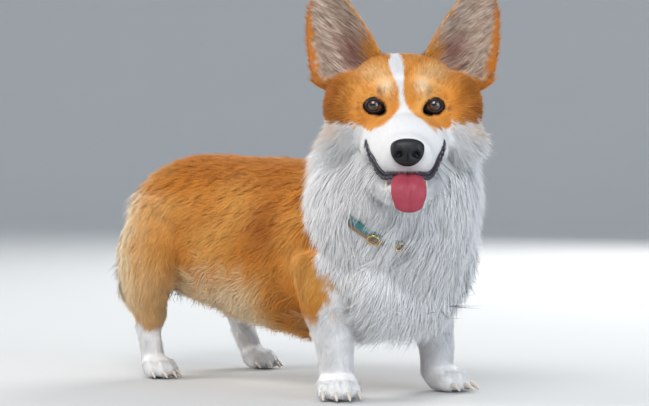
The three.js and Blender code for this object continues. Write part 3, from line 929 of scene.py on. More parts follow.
def remeshed(points, faces):
    """One closed surface round overlapping forms, by voxels; its points and quads."""
    mesh = raw_mesh("forms", points * MM, faces)
    made = bpy.data.objects.new("forms", mesh)
    bpy.context.scene.collection.objects.link(made)
    voxels = made.modifiers.new("voxels", "REMESH")
    voxels.mode = "VOXEL"
    voxels.voxel_size = SKIN_VOXEL * MM
    result = made.evaluated_get(bpy.context.evaluated_depsgraph_get()).to_mesh()
    points = read(result.vertices, "co", 3) / MM
    corners = read_whole(result.loops, "vertex_index")
    made.to_mesh_clear()
    bpy.data.objects.remove(made)
    bpy.data.meshes.remove(mesh)
    return points, corners.reshape(-1, 4)


def read(items, key, width):
    """An array of one value of every vertex, polygon or loop."""
    values = np.zeros(len(items) * width, np.float32)
    items.foreach_get(key, values)
    return values.reshape(-1, width).astype(float)


def read_whole(items, key):
    """An array of one whole number of every vertex, polygon or loop."""
    values = np.zeros(len(items), np.int32)
    items.foreach_get(key, values)
    return values


def neighbours(quads, count):
    """Both ends of every edge of the quads, each way round, and how many edges each point has."""
    ends = np.concatenate([quads[:, [k, (k + 1) % 4]] for k in range(4)])
    ends = np.concatenate([ends, ends[:, ::-1]])
    return ends, np.maximum(np.bincount(ends[:, 0], minlength=count), 1)[:, None]


def smoothed(points, quads, strength, times):
    """Each point moved towards the mean of its neighbours by its strength, that many times."""
    ends, degree = neighbours(quads, len(points))
    for _ in range(times):
        sums = [np.bincount(ends[:, 0], points[ends[:, 1], axis], len(points)) for axis in range(3)]
        total = np.stack(sums, -1)
        points = points + strength[:, None] * (total / degree - points)
    return points


def diagonals(points, quads):
    """The cross product of each quad's diagonals, which is its normal times twice its area."""
    a, b, c, d = (points[quads[:, k]] for k in range(4))
    return np.cross(c - a, d - b)


def point_normals(points, quads):
    """Normals at the points: the sum of the cross products of the quads' diagonals."""
    across = diagonals(points, quads)
    sums = [
        sum(np.bincount(quads[:, k], across[:, axis], len(points)) for k in range(4)) for axis in range(3)
    ]
    return unit(np.stack(sums, -1))


# How far the skin of the head stands out or in, in mm, round places of the head's frame alike on both sides
RELIEF = (
    # Brow, inner corner of the eye, furrow of the forehead
    (2.2, (25, -2, 15), (13, 12, 7)),
    (-2.4, (15, -14, -4), (8, 12, 9)),
    (-1.8, (0, 0, 26), (6, 40, 20)),
    # Pad beside the nose, groove below it, flew
    (2.0, (21, -62, -60), (12, 16, 11)),
    (-1.4, (0, -80, -69), (2.2, 12, 8)),
    (3.4, (42, -26, -52), (12, 22, 14)),
    # Cheekbone, crown, root of the ear, back of the cheek, hollow behind the mouth
    (1.5, (46, 4, -16), (12, 16, 12)),
    (3.0, (24, 24, 48), (15, 26, 14)),
    (3.4, (38, 30, 44), (18, 26, 18)),
    (4.0, (74, 38, 10), (18, 30, 24)),
    (-2.0, (56, 0, -36), (10, 20, 8)),
)
SOCKET_GAP = 1.8


def face_relief(head):
    """How far the skin of the head stands out at points of the head's frame: the sum of the hills of its
    relief."""
    even = evened(head)
    return sum(height * bump_at(even, at, size) for height, at, size in RELIEF)


def socketed(head):
    """Points of the head's frame, pressed in round the eyes: under the eyeball inside the rim, and less
    outside."""
    x, z = np.abs(head[:, 0]) - EYE_SPREAD, head[:, 2]
    under = EYE_DEPTH - np.sqrt(np.maximum(EYEBALL**2 - x**2 - z**2, 0)) + SOCKET_GAP
    share = (1 - ramp(eye_rim(head), 0.86, 1.12)) * (head[:, 1] < 22)
    pressed = head.copy()
    pressed[:, 1] += share * np.maximum(under - head[:, 1], 0)
    return pressed


def skin_shape():
    """Points, quads and triangles of the skin, and the shares of the regions at its points: the forms
    joined by voxels and smoothed, the relief of the face, and the blades of the ears as they are."""
    forms = flesh()
    points, quads = remeshed(*joined([closed(grid) for grid in forms.values()]))
    regions = regions_of(points, forms)
    fine = regions["muzzle"] + regions["jaw"] + 0.7 * regions["paw"] + 0.5 * regions["skull"]
    points = smoothed(points, quads, np.full(len(points), 0.5), 3)
    points = smoothed(points, quads, 0.5 * (1 - np.clip(fine, 0, 1)), 12)
    quads = facing_out(points, [quads])[1][0]
    relief = face_relief(to_head(points)) * regions["head"]
    head = to_head(points + point_normals(points, quads) * relief[:, None])
    points = mixed(points, from_head(socketed(head)), regions["head"] > 0.5)
    points[:, 2] = np.maximum(points[:, 2], ABOVE_FLOOR["skin"])
    blades = [closed(from_head(ear_grid(side))) for side in SIDES.values()]
    count = sum(len(blade[0]) for blade in blades)
    for region, share in regions.items():
        on_ear = 1.0 if region in ("ear", "head") else 0.0
        regions[region] = np.concatenate([share, np.full(count, on_ear)])
    points, (triangles, quads) = joined([(points, [quads]), *blades])
    return points, quads, triangles, regions


def skin_points():
    """The skin's points, in the dog's frame."""
    return read(bpy.data.objects["skin"].data.vertices, "co", 3) / MM - ORIGIN


def unwrapped(made):
    """Unwraps the piece by its own shape into a map of its own, named OFBake."""
    made.data.uv_layers.new(name="OFBake")
    bpy.context.view_layer.objects.active = made
    made.select_set(True)
    bpy.ops.object.mode_set(mode="EDIT")
    bpy.ops.mesh.select_all(action="SELECT")
    bpy.ops.uv.smart_project(angle_limit=math.radians(72), island_margin=0.002)
    bpy.ops.object.mode_set(mode="OBJECT")
    made.select_set(False)


FLESH = ("torso", "chest", "neck", "tail", "head", "jaw", "ear_", "foreleg", "hindleg")
FLESH_NODES = [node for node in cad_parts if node.startswith(FLESH)]
FLESH_NODES += [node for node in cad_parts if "paw" in node and "claw" not in node]


class CORGI_OT_skin(bpy.types.Operator):
    """Lays one skin over every form of flesh and marks it"""

    bl_idname = "corgi.skin"
    bl_label = "Skin"

    def execute(self, context):
        points, quads, triangles, regions = skin_shape()
        made = piece("skin", points, [triangles, quads], "red_coat", skin_material(), FLESH_NODES)
        colours = markings(points, point_normals(points, quads), regions, context.scene.corgi_coat)
        bare = bareness(to_head(points))
        paint(made.data, "Markings", mixed(colours, np.array(context.scene.corgi_coat.dark), bare))
        for region, share in regions.items():
            kept_value(made.data, "at_" + region, share)
        unwrapped(made)
        return {"FINISHED"}


# Coat

# Length and width of a tuft in mm, its slope at root and tip in degrees, and tufts per square mm
COAT = {
    "trunk": (25, 1.35, 24, 2, 0.39),
    "tail": (26, 1.4, 30, 6, 0.36),
    "neck": (38, 1.15, 28, 4, 0.50),
    "skull": (9, 0.80, 16, 10, 1.05),
    "muzzle": (4.5, 0.65, 13, 6, 1.35),
    "jaw": (8, 0.8, 20, 10, 0.9),
    "cheek": (13, 0.90, 15, 8, 0.95),
    "ear": (6.5, 0.75, 10, 6, 0.9),
    "foreleg": (15, 1.0, 20, 12, 0.80),
    "hindleg": (18, 1.2, 20, 4, 0.50),
    "paw": (6, 0.75, 12, 7, 1.05),
}
COAT_KEYS = ("length", "width", "rise", "settle", "density")

# Stretches of the collar where the ruff parts: each comes in and goes out between shares of the way round
PARTINGS = ((0.60, 0.63, 0.70, 0.71), (0.715, 0.725, 0.755, 0.77))
FAR_OFF = 99.0


def eye_rim(head):
    """Size of a point's offset from its eye, 1 on the outer edge of the dark rim."""
    x = 0.98 * (np.abs(head[:, 0]) - EYE_SPREAD)
    z = head[:, 2] + 1.0 + 0.30 * np.clip(-x / 0.98, 0, None)
    return np.sqrt((x / np.where(x < 0, 12.6, 11.4)) ** 2 + (z / 9.6) ** 2) + (head[:, 1] > 24) * 9


def lip_gap(head):
    """Height above the line of the mouth in front of its corner, and far off elsewhere."""
    gap = head[:, 2] - mouth_height(head[:, 1])
    return np.where(head[:, 1] < -19, gap, FAR_OFF)


def bareness(head):
    """Share of bare dark skin on the face: the eyes' rims, the lips and the inside of the mouth."""
    eyes = 1 - ramp(eye_rim(head), 0.92, 1.12)
    gap = lip_gap(head)
    lips = ramp(gap, -MOUTH_OPEN - 4.5, -MOUTH_OPEN - 2.5) * (1 - ramp(gap, 1.2, 2.6))
    return np.maximum(eyes, lips)


def near_collar(points):
    """How far above the collar a point lies along the neck, in mm, and its share of the stretches where the
    ruff parts, both from the nearest of many points round the collar."""
    around = np.arange(120) / 120
    ring = on_neck(around, 0.0, 1.5)
    down = unit(on_neck(around, 0.03, 1.5) - ring)
    close = np.flatnonzero(((points > ring.min(0) - 60) & (points < ring.max(0) + 60)).all(1))
    nearest_one = ((points[close, None] - ring[None]) ** 2).sum(-1).argmin(1)
    above, share = np.full(len(points), FAR_OFF), np.zeros(len(points))
    above[close] = -((points[close] - ring[nearest_one]) * down[nearest_one]).sum(1)
    place = around[nearest_one]
    share[close] = sum(ramp(place, a, b) * (1 - ramp(place, c, d)) for a, b, c, d in PARTINGS)
    return above, share


def coat_of(points, normals, regions):
    """Size, slope and number of the tufts at points of the dog's frame: the values of the regions by their
    shares, and then longer, shorter, steeper or flatter hair on the parts that are named below."""
    total = sum(regions[region] for region in COAT)
    length, width, rise, settle, density = (
        sum(regions[region] * values[k] for region, values in COAT.items()) / total
        for k in range(len(COAT_KEYS))
    )
    y, z = points[:, 1], points[:, 2]
    trunk = regions["trunk"]
    chest = trunk * (1 - ramp(y, -180, -140))
    fringe = trunk * ramp(-normals[:, 2], 0.1, 0.7) * ramp(y, -130, -90)
    apron = trunk * ramp(-normals[:, 2], 0.2, 0.7) * (1 - ramp(y, -120, -80))
    breeches = (trunk + regions["hindleg"]) * ramp(normals[:, 1], 0.3, 0.8)
    breeches *= ramp(y, 170, 220) * ramp(z, 90, 120)
    length += 14 * chest + 16 * fringe + 14 * breeches + 18 * apron
    width += 0.1 * np.clip(chest + fringe + breeches, 0, 1)
    rise -= 8 * np.clip(breeches + chest, 0, 1)

    head = to_head(points)
    chin = regions["jaw"] * np.maximum(ramp(-normals[:, 2], 0.0, 0.5), ramp(head[:, 1], -45, -20))
    length += 14 * chin
    rise += 12 * chin

    fold = np.clip(4 * trunk * (regions["foreleg"] + 0.6 * regions["hindleg"]), 0, 1)
    length *= 1 - 0.5 * fold
    rise *= 1 - 0.4 * fold

    shank = (1 - ramp(z, 60, 110)) * (regions["foreleg"] + regions["hindleg"])
    length *= 1 - 0.42 * shank
    width *= 1 - 0.25 * shank
    density *= 1 + 0.5 * shank

    front = regions["head"] * (1 - ramp(head[:, 1], -10, 30))
    near_nose = bump_at(head, (0, -84, -50), (24, 16, 22))
    length *= 1 - 0.30 * front * (1 - regions["muzzle"])
    length *= 1 - 0.45 * (1 - ramp(eye_rim(head), 1.0, 1.9))
    length *= 1 - 0.45 * near_nose
    width *= 1 - 0.2 * near_nose

    flare = ramp(np.abs(head[:, 0]), 40, 66) * (1 - ramp(head[:, 2], -34, -16)) * ramp(head[:, 1], 0, 26)
    flare *= regions["head"] - regions["ear"]
    length += 20 * flare
    rise += 34 * flare
    settle += 14 * flare

    across, up = ear_place(head)
    wisps = ramp(-to_head_way(normals)[:, 1], 0.1, 0.5) * regions["ear"]
    wisps *= (1 - ramp(np.abs(across), 0.55, 0.8)) * ramp(up, 0.05, 0.2)
    ear_root = regions["ear"] * (1 - ramp(up, 0.06, 0.24))
    length += 11 * wisps + 9 * ear_root
    rise += 10 * ear_root
    settle += 6 * wisps
    density *= 1 - 0.45 * wisps

    above, parted = near_collar(points)
    flat = parted * (above > -4) * (above < 60)
    most = np.clip(above * 0.9 + 1 + 16 * (1 - parted), 4, None)
    length = np.where(flat > 0.1, np.minimum(length, most), length)
    rise *= 1 - 0.7 * flat
    settle -= 2 * flat
    density[hairless(points, head, above, parted)] = 0
    return dict(zip(COAT_KEYS, (length, width, rise, settle, density)))


def hairless(points, head, above, parted):
    """Where no tuft grows: on the eyes' rims, the lips and the soles, and under the nose, the tongue and
    the part of the collar that shows."""
    under_nose = nearest(head, NOSE.grid(32, 16, 0.5).reshape(-1, 3)) < 2.0
    gap = lip_gap(head)
    under_tongue = (np.abs(head[:, 0]) < 17) & (head[:, 1] < -20) & (gap < 0) & (gap > -14)
    under_collar = (np.abs(above) < 6.5) & (parted > 0.5)
    sole = points[:, 2] < 2.0
    return (eye_rim(head) < 1.0) | (bareness(head) > 0.6) | under_nose | under_tongue | under_collar | sole


def lie_of(points, normals, regions):
    """The way the coat lies at points of the dog's frame: a direction for each region by its share, stirred
    by smooth noise and pulled to the noise's ridges, with what points out of the skin taken off."""
    x, y = points[:, 0], points[:, 1]
    head = to_head(points)
    side = np.sign(head[:, 0])

    trunk = stacked(0.25 * np.sign(x) * ramp(normals[:, 2], 0.2, 0.9), 0.82, -0.5)
    trunk = mixed(trunk, (0, 0.15, -1), ramp(y, 190, 250))
    trunk = mixed(trunk, (0, 0.75, -0.6), ramp(-normals[:, 2], 0.1, 0.7))
    chest = 1 - ramp(y, -185, -130)
    spread = stacked(0.006 * x, 0, -1)
    trunk = mixed(trunk, spread, chest)
    neck = mixed((0, 0.55, -0.85), spread, 1 - ramp(normals[:, 1], -0.5, 0.3))

    from_nose = unit(head - np.array([0, -100, -46]))
    chin = regions["jaw"] * ramp(-lip_gap(head), 8, 16)
    hang = stacked(0.45 * side * ramp(np.abs(head[:, 0]), 4, 20), -0.15, -1.6)
    back = np.array([0, 0.3, -0.55])
    face = head_way(from_nose + back * regions["cheek"][:, None] + hang * chin[:, None])
    inside = ramp(-to_head_way(normals)[:, 1], 0.1, 0.5)
    ear = head_way(mixed((0, 0.1, 1), stacked(side * 0.9, 0, 0.6), inside))

    leg_down, tail_back = np.array([0, 0.22, -1]), np.array([0, 0.8, -0.5])
    paw = np.zeros_like(points)
    for leg in LEGS.values():
        turn, foot = turn_about_z(math.radians(leg["turn"])), leg["foot"]
        ahead = turn @ np.array([0, -1, -0.9 * foot]) * foot
        close = np.exp(-((points[:, :2] - np.array(leg["ankle"])) ** 2).sum(-1) / 3000)
        paw += close[:, None] * ahead
    ways = {
        "trunk": trunk, "tail": tail_back, "neck": neck, "skull": face, "muzzle": face, "jaw": face,
        "cheek": face, "ear": ear, "foreleg": leg_down, "hindleg": leg_down, "paw": paw,
    }
    way = sum(regions[region][:, None] * unit(ways[region]) for region in ways)

    stir = np.stack([waves(points, 34, 50 + k) for k in range(3)], -1)
    calm = np.clip(regions["head"] + regions["paw"], 0, 1)
    mane = np.clip(regions["neck"] + regions["trunk"] * chest, 0, 1)
    way = way + stir * (0.24 - 0.16 * calm - 0.08 * mane)[:, None]
    clumps = mixed(0.30 * pull(points, 17, 60), 0.13 * pull(points, 8, 61), calm)
    return along_skin(way + clumps * (1 - 0.35 * mane)[:, None], normals)


def along_skin(ways, normals):
    """Directions without what points out of the skin, of length 1."""
    return unit(ways - normals * np.einsum("ij,ij->i", ways, normals)[:, None])


def scattered(points, quads, density, draws):
    """Roots spread over the quads: how far through the running sum of area times density each even step
    falls names its quad, and two draws its place there. Gives the quads and the shares of their four
    corners."""
    area = 0.5 * np.linalg.norm(diagonals(points, quads), axis=-1)
    running = np.cumsum(area * density[quads].mean(1))
    count = int(running[-1])
    steps = (np.arange(count) + draws.uniform(0, 1, count)) / count * running[-1]
    chosen = np.minimum(np.searchsorted(running, steps), len(quads) - 1)
    u, v = draws.uniform(0, 1, (2, count))
    shares = np.stack([(1 - u) * (1 - v), u * (1 - v), u * v, (1 - u) * v], -1)
    return chosen, shares


# How deep a tuft's root is in the skin, the power by which its width tapers, and how high its ridge is
TUFT_SUNK = 0.8
TUFT_TAPER = 1.6
TUFT_RIDGE = 0.8

# Tufts below the first length are one segment long and those above the second three; most triangles of a
# piece, half the size of a tuft's patch on the map, and the painted shade that darkens the roots of tufts
# under red and under white hair
SHORT = 32
LONG = 60
MOST_TRIANGLES = 190_000
PATCH = 0.0015
RED_ROOT_SHADE = (0.82, 0.72, 0.63)
WHITE_ROOT_SHADE = (0.95, 0.95, 0.955)


def tufts(hair, segments, draws):
    """Closed three-sided blades, as points and triangles: along each, the slope turns evenly from its rise
    to its settling angle, the point is the running sum of the steps, and the half width is half the width
    times 1 less the way along to the power of the taper, with a ridge on the outer side. Also how far along
    each point is, how many points a tuft has and the directions square to it at each."""
    count = len(hair["roots"])
    normals, ways = hair["normals"], hair["ways"]
    along = np.linspace(0, 1, segments + 1)
    half_way = (along[:-1] + along[1:]) / 2
    slope = np.radians(hair["rise"][:, None] + (hair["settle"] - hair["rise"])[:, None] * half_way)
    heading = ways[:, None] * np.cos(slope)[..., None] + normals[:, None] * np.sin(slope)[..., None]
    steps = hair["length"][:, None, None] / segments * heading
    middle = np.concatenate([np.zeros_like(steps[:, :1]), np.cumsum(steps, 1)], 1)
    middle = middle + (hair["roots"] - normals * TUFT_SUNK)[:, None]
    across = unit(np.cross(ways, normals))
    twist = draws.uniform(-0.5, 0.5, count)[:, None]
    sideways = across * np.cos(twist) + normals * np.sin(twist)
    outward = normals * np.cos(twist) - across * np.sin(twist)
    half = hair["width"][:, None, None] / 2 * (1 - along[None, :-1, None] ** TUFT_TAPER)
    offsets = (-sideways[:, None] * half, sideways[:, None] * half, outward[:, None] * half * TUFT_RIDGE)
    ring = np.stack([middle[:, :-1] + offset for offset in offsets], 2)
    points = np.concatenate([ring.reshape(count, -1, 3), middle[:, -1:]], 1)
    width = points.shape[1]
    faces = blade_triangles(segments)[None] + width * np.arange(count)[:, None, None]
    tip = np.concatenate([np.repeat(along[:-1], 3), [1.0]])
    turned = np.stack([-sideways, sideways, outward], 1)[:, None] * np.ones((1, segments, 1, 1))
    around = np.concatenate([turned.reshape(count, -1, 3), np.zeros((count, 1, 3))], 1)
    return points.reshape(-1, 3), faces.reshape(-1, 3), np.tile(tip, count), width, around.reshape(-1, 3)


def blade_triangles(segments):
    """Triangles of one blade: its root, two for each of three sides of every segment but the last, and its
    tip."""
    sides = ((0, 1), (1, 2), (2, 0))
    triangles = [[0, 1, 2]]
    for a in range(0, 3 * (segments - 1), 3):
        for i, j in sides:
            triangles += [[a + i, a + 3 + i, a + j], [a + j, a + 3 + i, a + 3 + j]]
    last = 3 * (segments - 1)
    triangles += [[last + i, 3 * segments, last + j] for i, j in sides]
    return np.array(triangles)


def coat_piece(name, hair, segments, materials, draws):
    """One object of tufts with its markings, darker towards each root as painted shade, normals that lean to
    the skin's, and a small patch of the skin's map for each tuft."""
    points, faces, tip, width, around = tufts(hair, segments, draws)
    points[:, 2] = np.maximum(points[:, 2], ABOVE_FLOOR["hair"])
    colours = hair["colours"]
    whiteness = ramp(colours[:, 2], 0.15, 0.6)
    slot = "white_coat" if whiteness.mean() > 0.5 else "red_coat"
    made = piece(name, points, [faces], slot, materials[slot])
    # Painted shade: each tuft is darker at its root and a little lighter at its tip, for the depth of the
    # coat.
    root = colours * mixed(RED_ROOT_SHADE, WHITE_ROOT_SHADE, whiteness)
    shaded = mixed(np.repeat(root, width, 0), np.repeat(colours * 1.04, width, 0), tip)
    paint(made.data, "Markings", np.clip(shaded, 0, 0.97))
    own = 0.50 + 0.45 * ramp(np.repeat(hair["length"], width), 18, 40)
    lean = unit(np.repeat(hair["normals"], width, 0) + own[:, None] * around)
    given = made.data.attributes.new("custom_normal", "FLOAT_VECTOR", "POINT")
    given.data.foreach_set("vector", lean.astype(np.float32).ravel())
    pattern = np.concatenate([np.tile([[-1, -1], [1, -1], [0, 1]], (segments, 1)), [[0, 0]]]) * PATCH
    spots = (hair["spots"][:, None] + pattern[None]).reshape(-1, 2)
    mapped(made, "OFBake", spots[faces.ravel()])


def mapped(made, name, spots):
    """Gives a piece a map, with a place for each corner of its faces."""
    layer = made.data.uv_layers.new(name=name)
    layer.data.foreach_set("uv", spots.astype(np.float32).ravel())


def varied(values, draws, share):
    """Values multiplied by draws from 1 less the share to 1 plus the share."""
    return values * draws.uniform(1 - share, 1 + share, len(values))


def grown(settings, draws):
    """What every tuft needs, as arrays with a row for each: its root on the skin, the normal there, the way
    it lies, its sizes, its colour and its place on the skin's map."""
    skin = bpy.data.objects["skin"].data
    points = skin_points()
    corners = read_whole(skin.loops, "vertex_index")
    before_quads = 3 * (4 * len(skin.polygons) - len(corners))
    quads = corners[before_quads:].reshape(-1, 4)
    uv = read(skin.uv_layers["OFBake"].data, "uv", 2)[before_quads:].reshape(-1, 4, 2)
    shared = [item for item in skin.attributes if item.name.startswith("at_")]
    regions = {item.name[3:]: read(item.data, "value", 1)[:, 0] for item in shared}
    normals = point_normals(points, quads)
    sizes = coat_of(points, normals, regions)
    ways = lie_of(points, normals, regions)
    fullness = settings.fullness * 1.0
    chosen, shares = scattered(points, quads, sizes["density"] * fullness, draws)

    def at(values):
        """Values of the skin's points at the roots, by the shares of their quad's corners."""
        corner = values[quads[chosen]]
        return (corner * (shares if corner.ndim == 2 else shares[..., None])).sum(1)

    roots, out = at(points), unit(at(normals))
    count = len(roots)
    hair = {key: at(values) for key, values in sizes.items()}
    hair["roots"], hair["normals"] = roots, out
    hair["ways"] = along_skin(at(ways) + draws.normal(0, 0.13, (count, 3)), out)
    hair["length"] = varied(hair["length"], draws, 0.28)
    hair["width"] = varied(hair["width"], draws, 0.25)
    hair["rise"] = varied(hair["rise"], draws, 0.28)
    hair["settle"] = hair["settle"] + draws.normal(0, 3.5, count)
    region = {name: at(values) for name, values in regions.items()}
    colours = markings(roots, out, region, settings)
    red_face = region["head"] * (1 - ramp(colours[:, 2], 0.3, 0.6))
    spread = 0.055 + 0.125 * red_face + 0.12 * region["ear"]
    lighter = spread * draws.normal(0, 1, count).clip(-2.5, 2.5)
    hair["colours"] = np.clip(colours * (1 + lighter[:, None]), 0, 1)
    hair["spots"] = (uv[chosen] * shares[..., None]).sum(1)
    return hair


class CORGI_OT_coat(bpy.types.Operator):
    """Grows the coat as tufts over the skin, along its lie"""

    bl_idname = "corgi.coat"
    bl_label = "Coat"

    def execute(self, context):
        draws = np.random.default_rng(7)
        hair = grown(context.scene.corgi_coat, draws)
        materials = {slot: fur_material(slot + "_fur") for slot in ("red_coat", "white_coat")}
        length = hair["length"]
        groups = {
            "short": (1, length < SHORT),
            "middle": (2, (length >= SHORT) & (length <= LONG)),
            "long": (3, length > LONG),
        }
        for group, (segments, belongs) in groups.items():
            order = np.flatnonzero(belongs)
            order = order[np.argsort(hair["roots"][order, 1])]
            pieces = max(1, math.ceil(len(order) * len(blade_triangles(segments)) / MOST_TRIANGLES))
            for i, rows in enumerate(np.array_split(order, pieces)):
                own = {key: values[rows] for key, values in hair.items()}
                coat_piece(f"coat_{group}_{i + 1}", own, segments, materials, draws)
        return {"FINISHED"}


# Eyes

IRIS = 6.7
PUPIL = 3.0


def eye_grid(side):
    """An eyeball with its pole on the gaze: a sphere, bulged over the iris by a low cap. Also the unit
    sphere."""
    sphere = ball((0, 0, 0), (1, 1, 1), 96, 96)
    radius = EYEBALL + 0.8 * ramp(sphere[..., 2:], 0.74, 1.0)
    gaze = unit(np.array([side * 0.10 - 0.03, -1.0, 0.03]))
    right = unit(np.cross(gaze, np.array([0, 0, 1.0])))
    up = np.cross(right, gaze)
    middle = np.array([side * EYE_SPREAD, EYE_DEPTH, 0])
    return sphere @ np.stack([right, up, gaze]) * radius + middle, sphere


def eye_colours(sphere, iris):
    """Pupil, iris with streaks and a darker edge, and dark white, by the distance from the gaze."""
    lean = sphere[..., 2]
    reach = np.where(lean < 0, EYEBALL, np.sqrt(np.maximum(1 - lean**2, 0)) * EYEBALL)
    angle = np.arctan2(sphere[..., 1], sphere[..., 0])
    streaks = 0.85 + 0.15 * np.sin(angle * 23) * np.sin(angle * 7 + 1) + 0.10 * np.sin(angle * 61)
    inner = 0.75 + 0.6 * ramp(reach, PUPIL, IRIS * 0.8)
    colours = np.array(iris) * (streaks * inner)[..., None]
    colours = mixed(colours, np.array(iris) * 0.22, ramp(reach, IRIS - 1.3, IRIS - 0.3))
    colours = mixed(colours, (0.004, 0.003, 0.003), 1 - ramp(reach, PUPIL - 0.3, PUPIL + 0.4))
    return mixed(colours, (0.10, 0.065, 0.05), ramp(reach, IRIS, IRIS + 0.5))


class CORGI_OT_eyes(bpy.types.Operator):
    """Sets the eyes in their sockets"""

    bl_idname = "corgi.eyes"
    bl_label = "Eyes"

    def execute(self, context):
        material = eye_material()
        for name, side in SIDES.items():
            grid, sphere = eye_grid(side)
            node = "eye_" + name
            made = piece(node + "_glass", *closed(from_head(grid)), "eye_glass", material, [node])
            paint(made.data, "Markings", listed(eye_colours(sphere, context.scene.corgi_face.iris)))
        return {"FINISHED"}


# Rows of a lid from the eyeball over its rim to the skin: share of the way, height over the eyeball
LID_ROWS = ((0.0, -0.7), (0.05, 0.6), (0.18, 1.5), (0.4, 1.9), (0.7, 1.2), (1.0, -0.3), (1.15, -2.0))


def skin_front(x, z):
    """The y of the skin at x and z of the head's frame: a mean over its front, weighted by exp of minus the
    squared distance."""
    head = to_head(skin_points())
    head = head[(head[:, 1] < 30) & (np.abs(head[:, 0]) < 60) & (np.abs(head[:, 2]) < 40)]
    apart = (head[:, 0] - x[:, None]) ** 2 + (head[:, 2] - z[:, None]) ** 2
    near = np.exp(-apart / 4.0) + 1e-9
    return (near * head[:, 1]).sum(1) / near.sum(1)


def lids_grid(side):
    """The lids of an eye, a ring: round the almond opening it starts on the eyeball, rolls over a rounded
    rim and runs down to the skin. The opening is an ellipse drawn out towards the nose and dipped there."""
    c, s = np.cos(full_turn(96)), np.sin(full_turn(96))
    share, height = np.array(LID_ROWS).T[..., None]
    inner = np.clip(-c, 0, 1) ** 3
    x = c * (7.1 + 4.6 * share + inner * (2.2 + 1.2 * share))
    tall = np.where(s > 0, 5.3 + 4.1 * share, 5.4 + 4.6 * share)
    z = s * tall * (1 - 0.35 * inner) - 2.6 * inner - 0.3
    on_eye = EYE_DEPTH - np.sqrt(np.maximum((EYEBALL + height) ** 2 - x**2 - z**2, 1.0))
    x = side * (EYE_SPREAD + x)
    on_skin = skin_front(x.ravel(), z.ravel()).reshape(x.shape) - 0.9 + 3.0 * ramp(share, 0.9, 1.15)
    down = ramp(share, 0.35, 1.0)
    return np.stack([x, on_eye * (1 - down) + on_skin * down, z], -1)


def looped(grid):
    """A grid closed both ways round, as points and quads that face out."""
    return facing_out(grid.reshape(-1, 3), [ring_quads(*grid.shape[:2], back_to_start=True)])


def strip(grid, outward):
    """An open band as points and quads, its faces on the side that `outward` points to."""
    points = grid.reshape(-1, 3)
    quads = ring_quads(*grid.shape[:2])
    return points, [quads if (diagonals(points, quads) @ np.array(outward)).sum() > 0 else quads[:, ::-1]]


class CORGI_OT_lids(bpy.types.Operator):
    """Lays the dark lids round the eyes"""

    bl_idname = "corgi.lids"
    bl_label = "Lids"

    def execute(self, context):
        material = wet_material("lid_skin", (0.004, 0.0035, 0.004), (0.010, 0.008, 0.009), 0.5, 900, 0.0002)
        for name, side in SIDES.items():
            points, faces = strip(lids_grid(side), (0, -1, 0))
            piece("lids_" + name, from_head(points), faces, "nose_leather", material)
        return {"FINISHED"}


# Nose and mouth

def nose_grid():
    """The nose's tube, with a comma of a nostril on each side, the groove down its middle and a flatter
    top."""
    grid = NOSE.grid(160, 110, 0.2)
    even, y, z = np.moveaxis(evened(grid), -1, 0)
    flat = stacked(even, z)
    pit = bump_at(flat, (8.4, -51.5), (3.9, 3.1)) * 6.0
    slit = bump_at(flat, (12.6, -54.5), (3.4, 1.5)) * 3.2
    wing = bump_at(flat, (13.0, -49.0), (3.6, 3.6)) * 1.2 + bump_at(flat, (4.4, -49.5), (2.2, 4.2)) * 0.7
    groove = np.exp(-((even / 0.75) ** 2)) * ramp(-z, 47, 52) * 1.3
    front = 1 - ramp(y, -88, -78)
    grid[..., 1] += front * (np.minimum(pit + slit, 6.0) - wing + groove)
    grid[..., 2] -= 0.8 * ramp(z, -42, -36)
    return grid


class CORGI_OT_nose(bpy.types.Operator):
    """Makes the nose with its nostrils"""

    bl_idname = "corgi.nose"
    bl_label = "Nose"

    def execute(self, context):
        low, high = (0.004, 0.004, 0.005), (0.010, 0.010, 0.012)
        material = wet_material("nose_skin", low, high, 0.42, 1250, 0.00035)
        piece("nose_pad", *closed(from_head(nose_grid())), "nose_leather", material, ["nose"])
        return {"FINISHED"}


# How far a lip lies below the line of the mouth and inside the skin
LIP_DROP = 0.3
LIP_INSET = 0.8


def skin_side(y, z, side):
    """How far out to that side the skin of the head reaches at y and z of the head's frame."""
    head = to_head(skin_points())
    head = head[(head[:, 1] < 10) & (head[:, 0] * side > 0)]
    apart = (head[:, 1] - y[:, None]) ** 2 + (head[:, 2] - z[:, None]) ** 2
    out = np.where(apart < 16, head[:, 0] * side, -1)
    return side * np.maximum(out.max(1), 4.0)


def lip_line(side, count):
    """The path of a lip on one side: the line of the mouth, a little lower, on the skin and drawn in. Its x
    is a running mean of seven."""
    t = np.linspace(0.015, 0.78, count)
    y, z = curve(MOUTH, t).T
    z = z - LIP_DROP * ramp(t, 0.0, 0.12)
    x = np.pad(skin_side(y, z, side), 3, mode="edge")
    x = np.convolve(x, np.ones(7) / 7, mode="valid") - side * LIP_INSET
    return np.stack([x, y, z], -1)


def bead(path, wide, tall, around=12):
    """A closed round bead along a path: its rings are ellipses square to the path, shrunk to the ends."""
    ahead = unit(np.gradient(path, axis=0))
    up = unit(np.array([0, 0, 1.0]) - ahead * ahead[:, 2:])
    out = np.cross(ahead, up)
    share = np.linspace(0, 1, len(path))
    size = np.sqrt(np.clip(np.minimum(share, 1 - share) * 8, 0, 1))[:, None, None]
    angle = full_turn(around)[:, None]
    ring = out[:, None] * np.cos(angle) * wide + up[:, None] * np.sin(angle) * tall
    return path[:, None] + ring * size


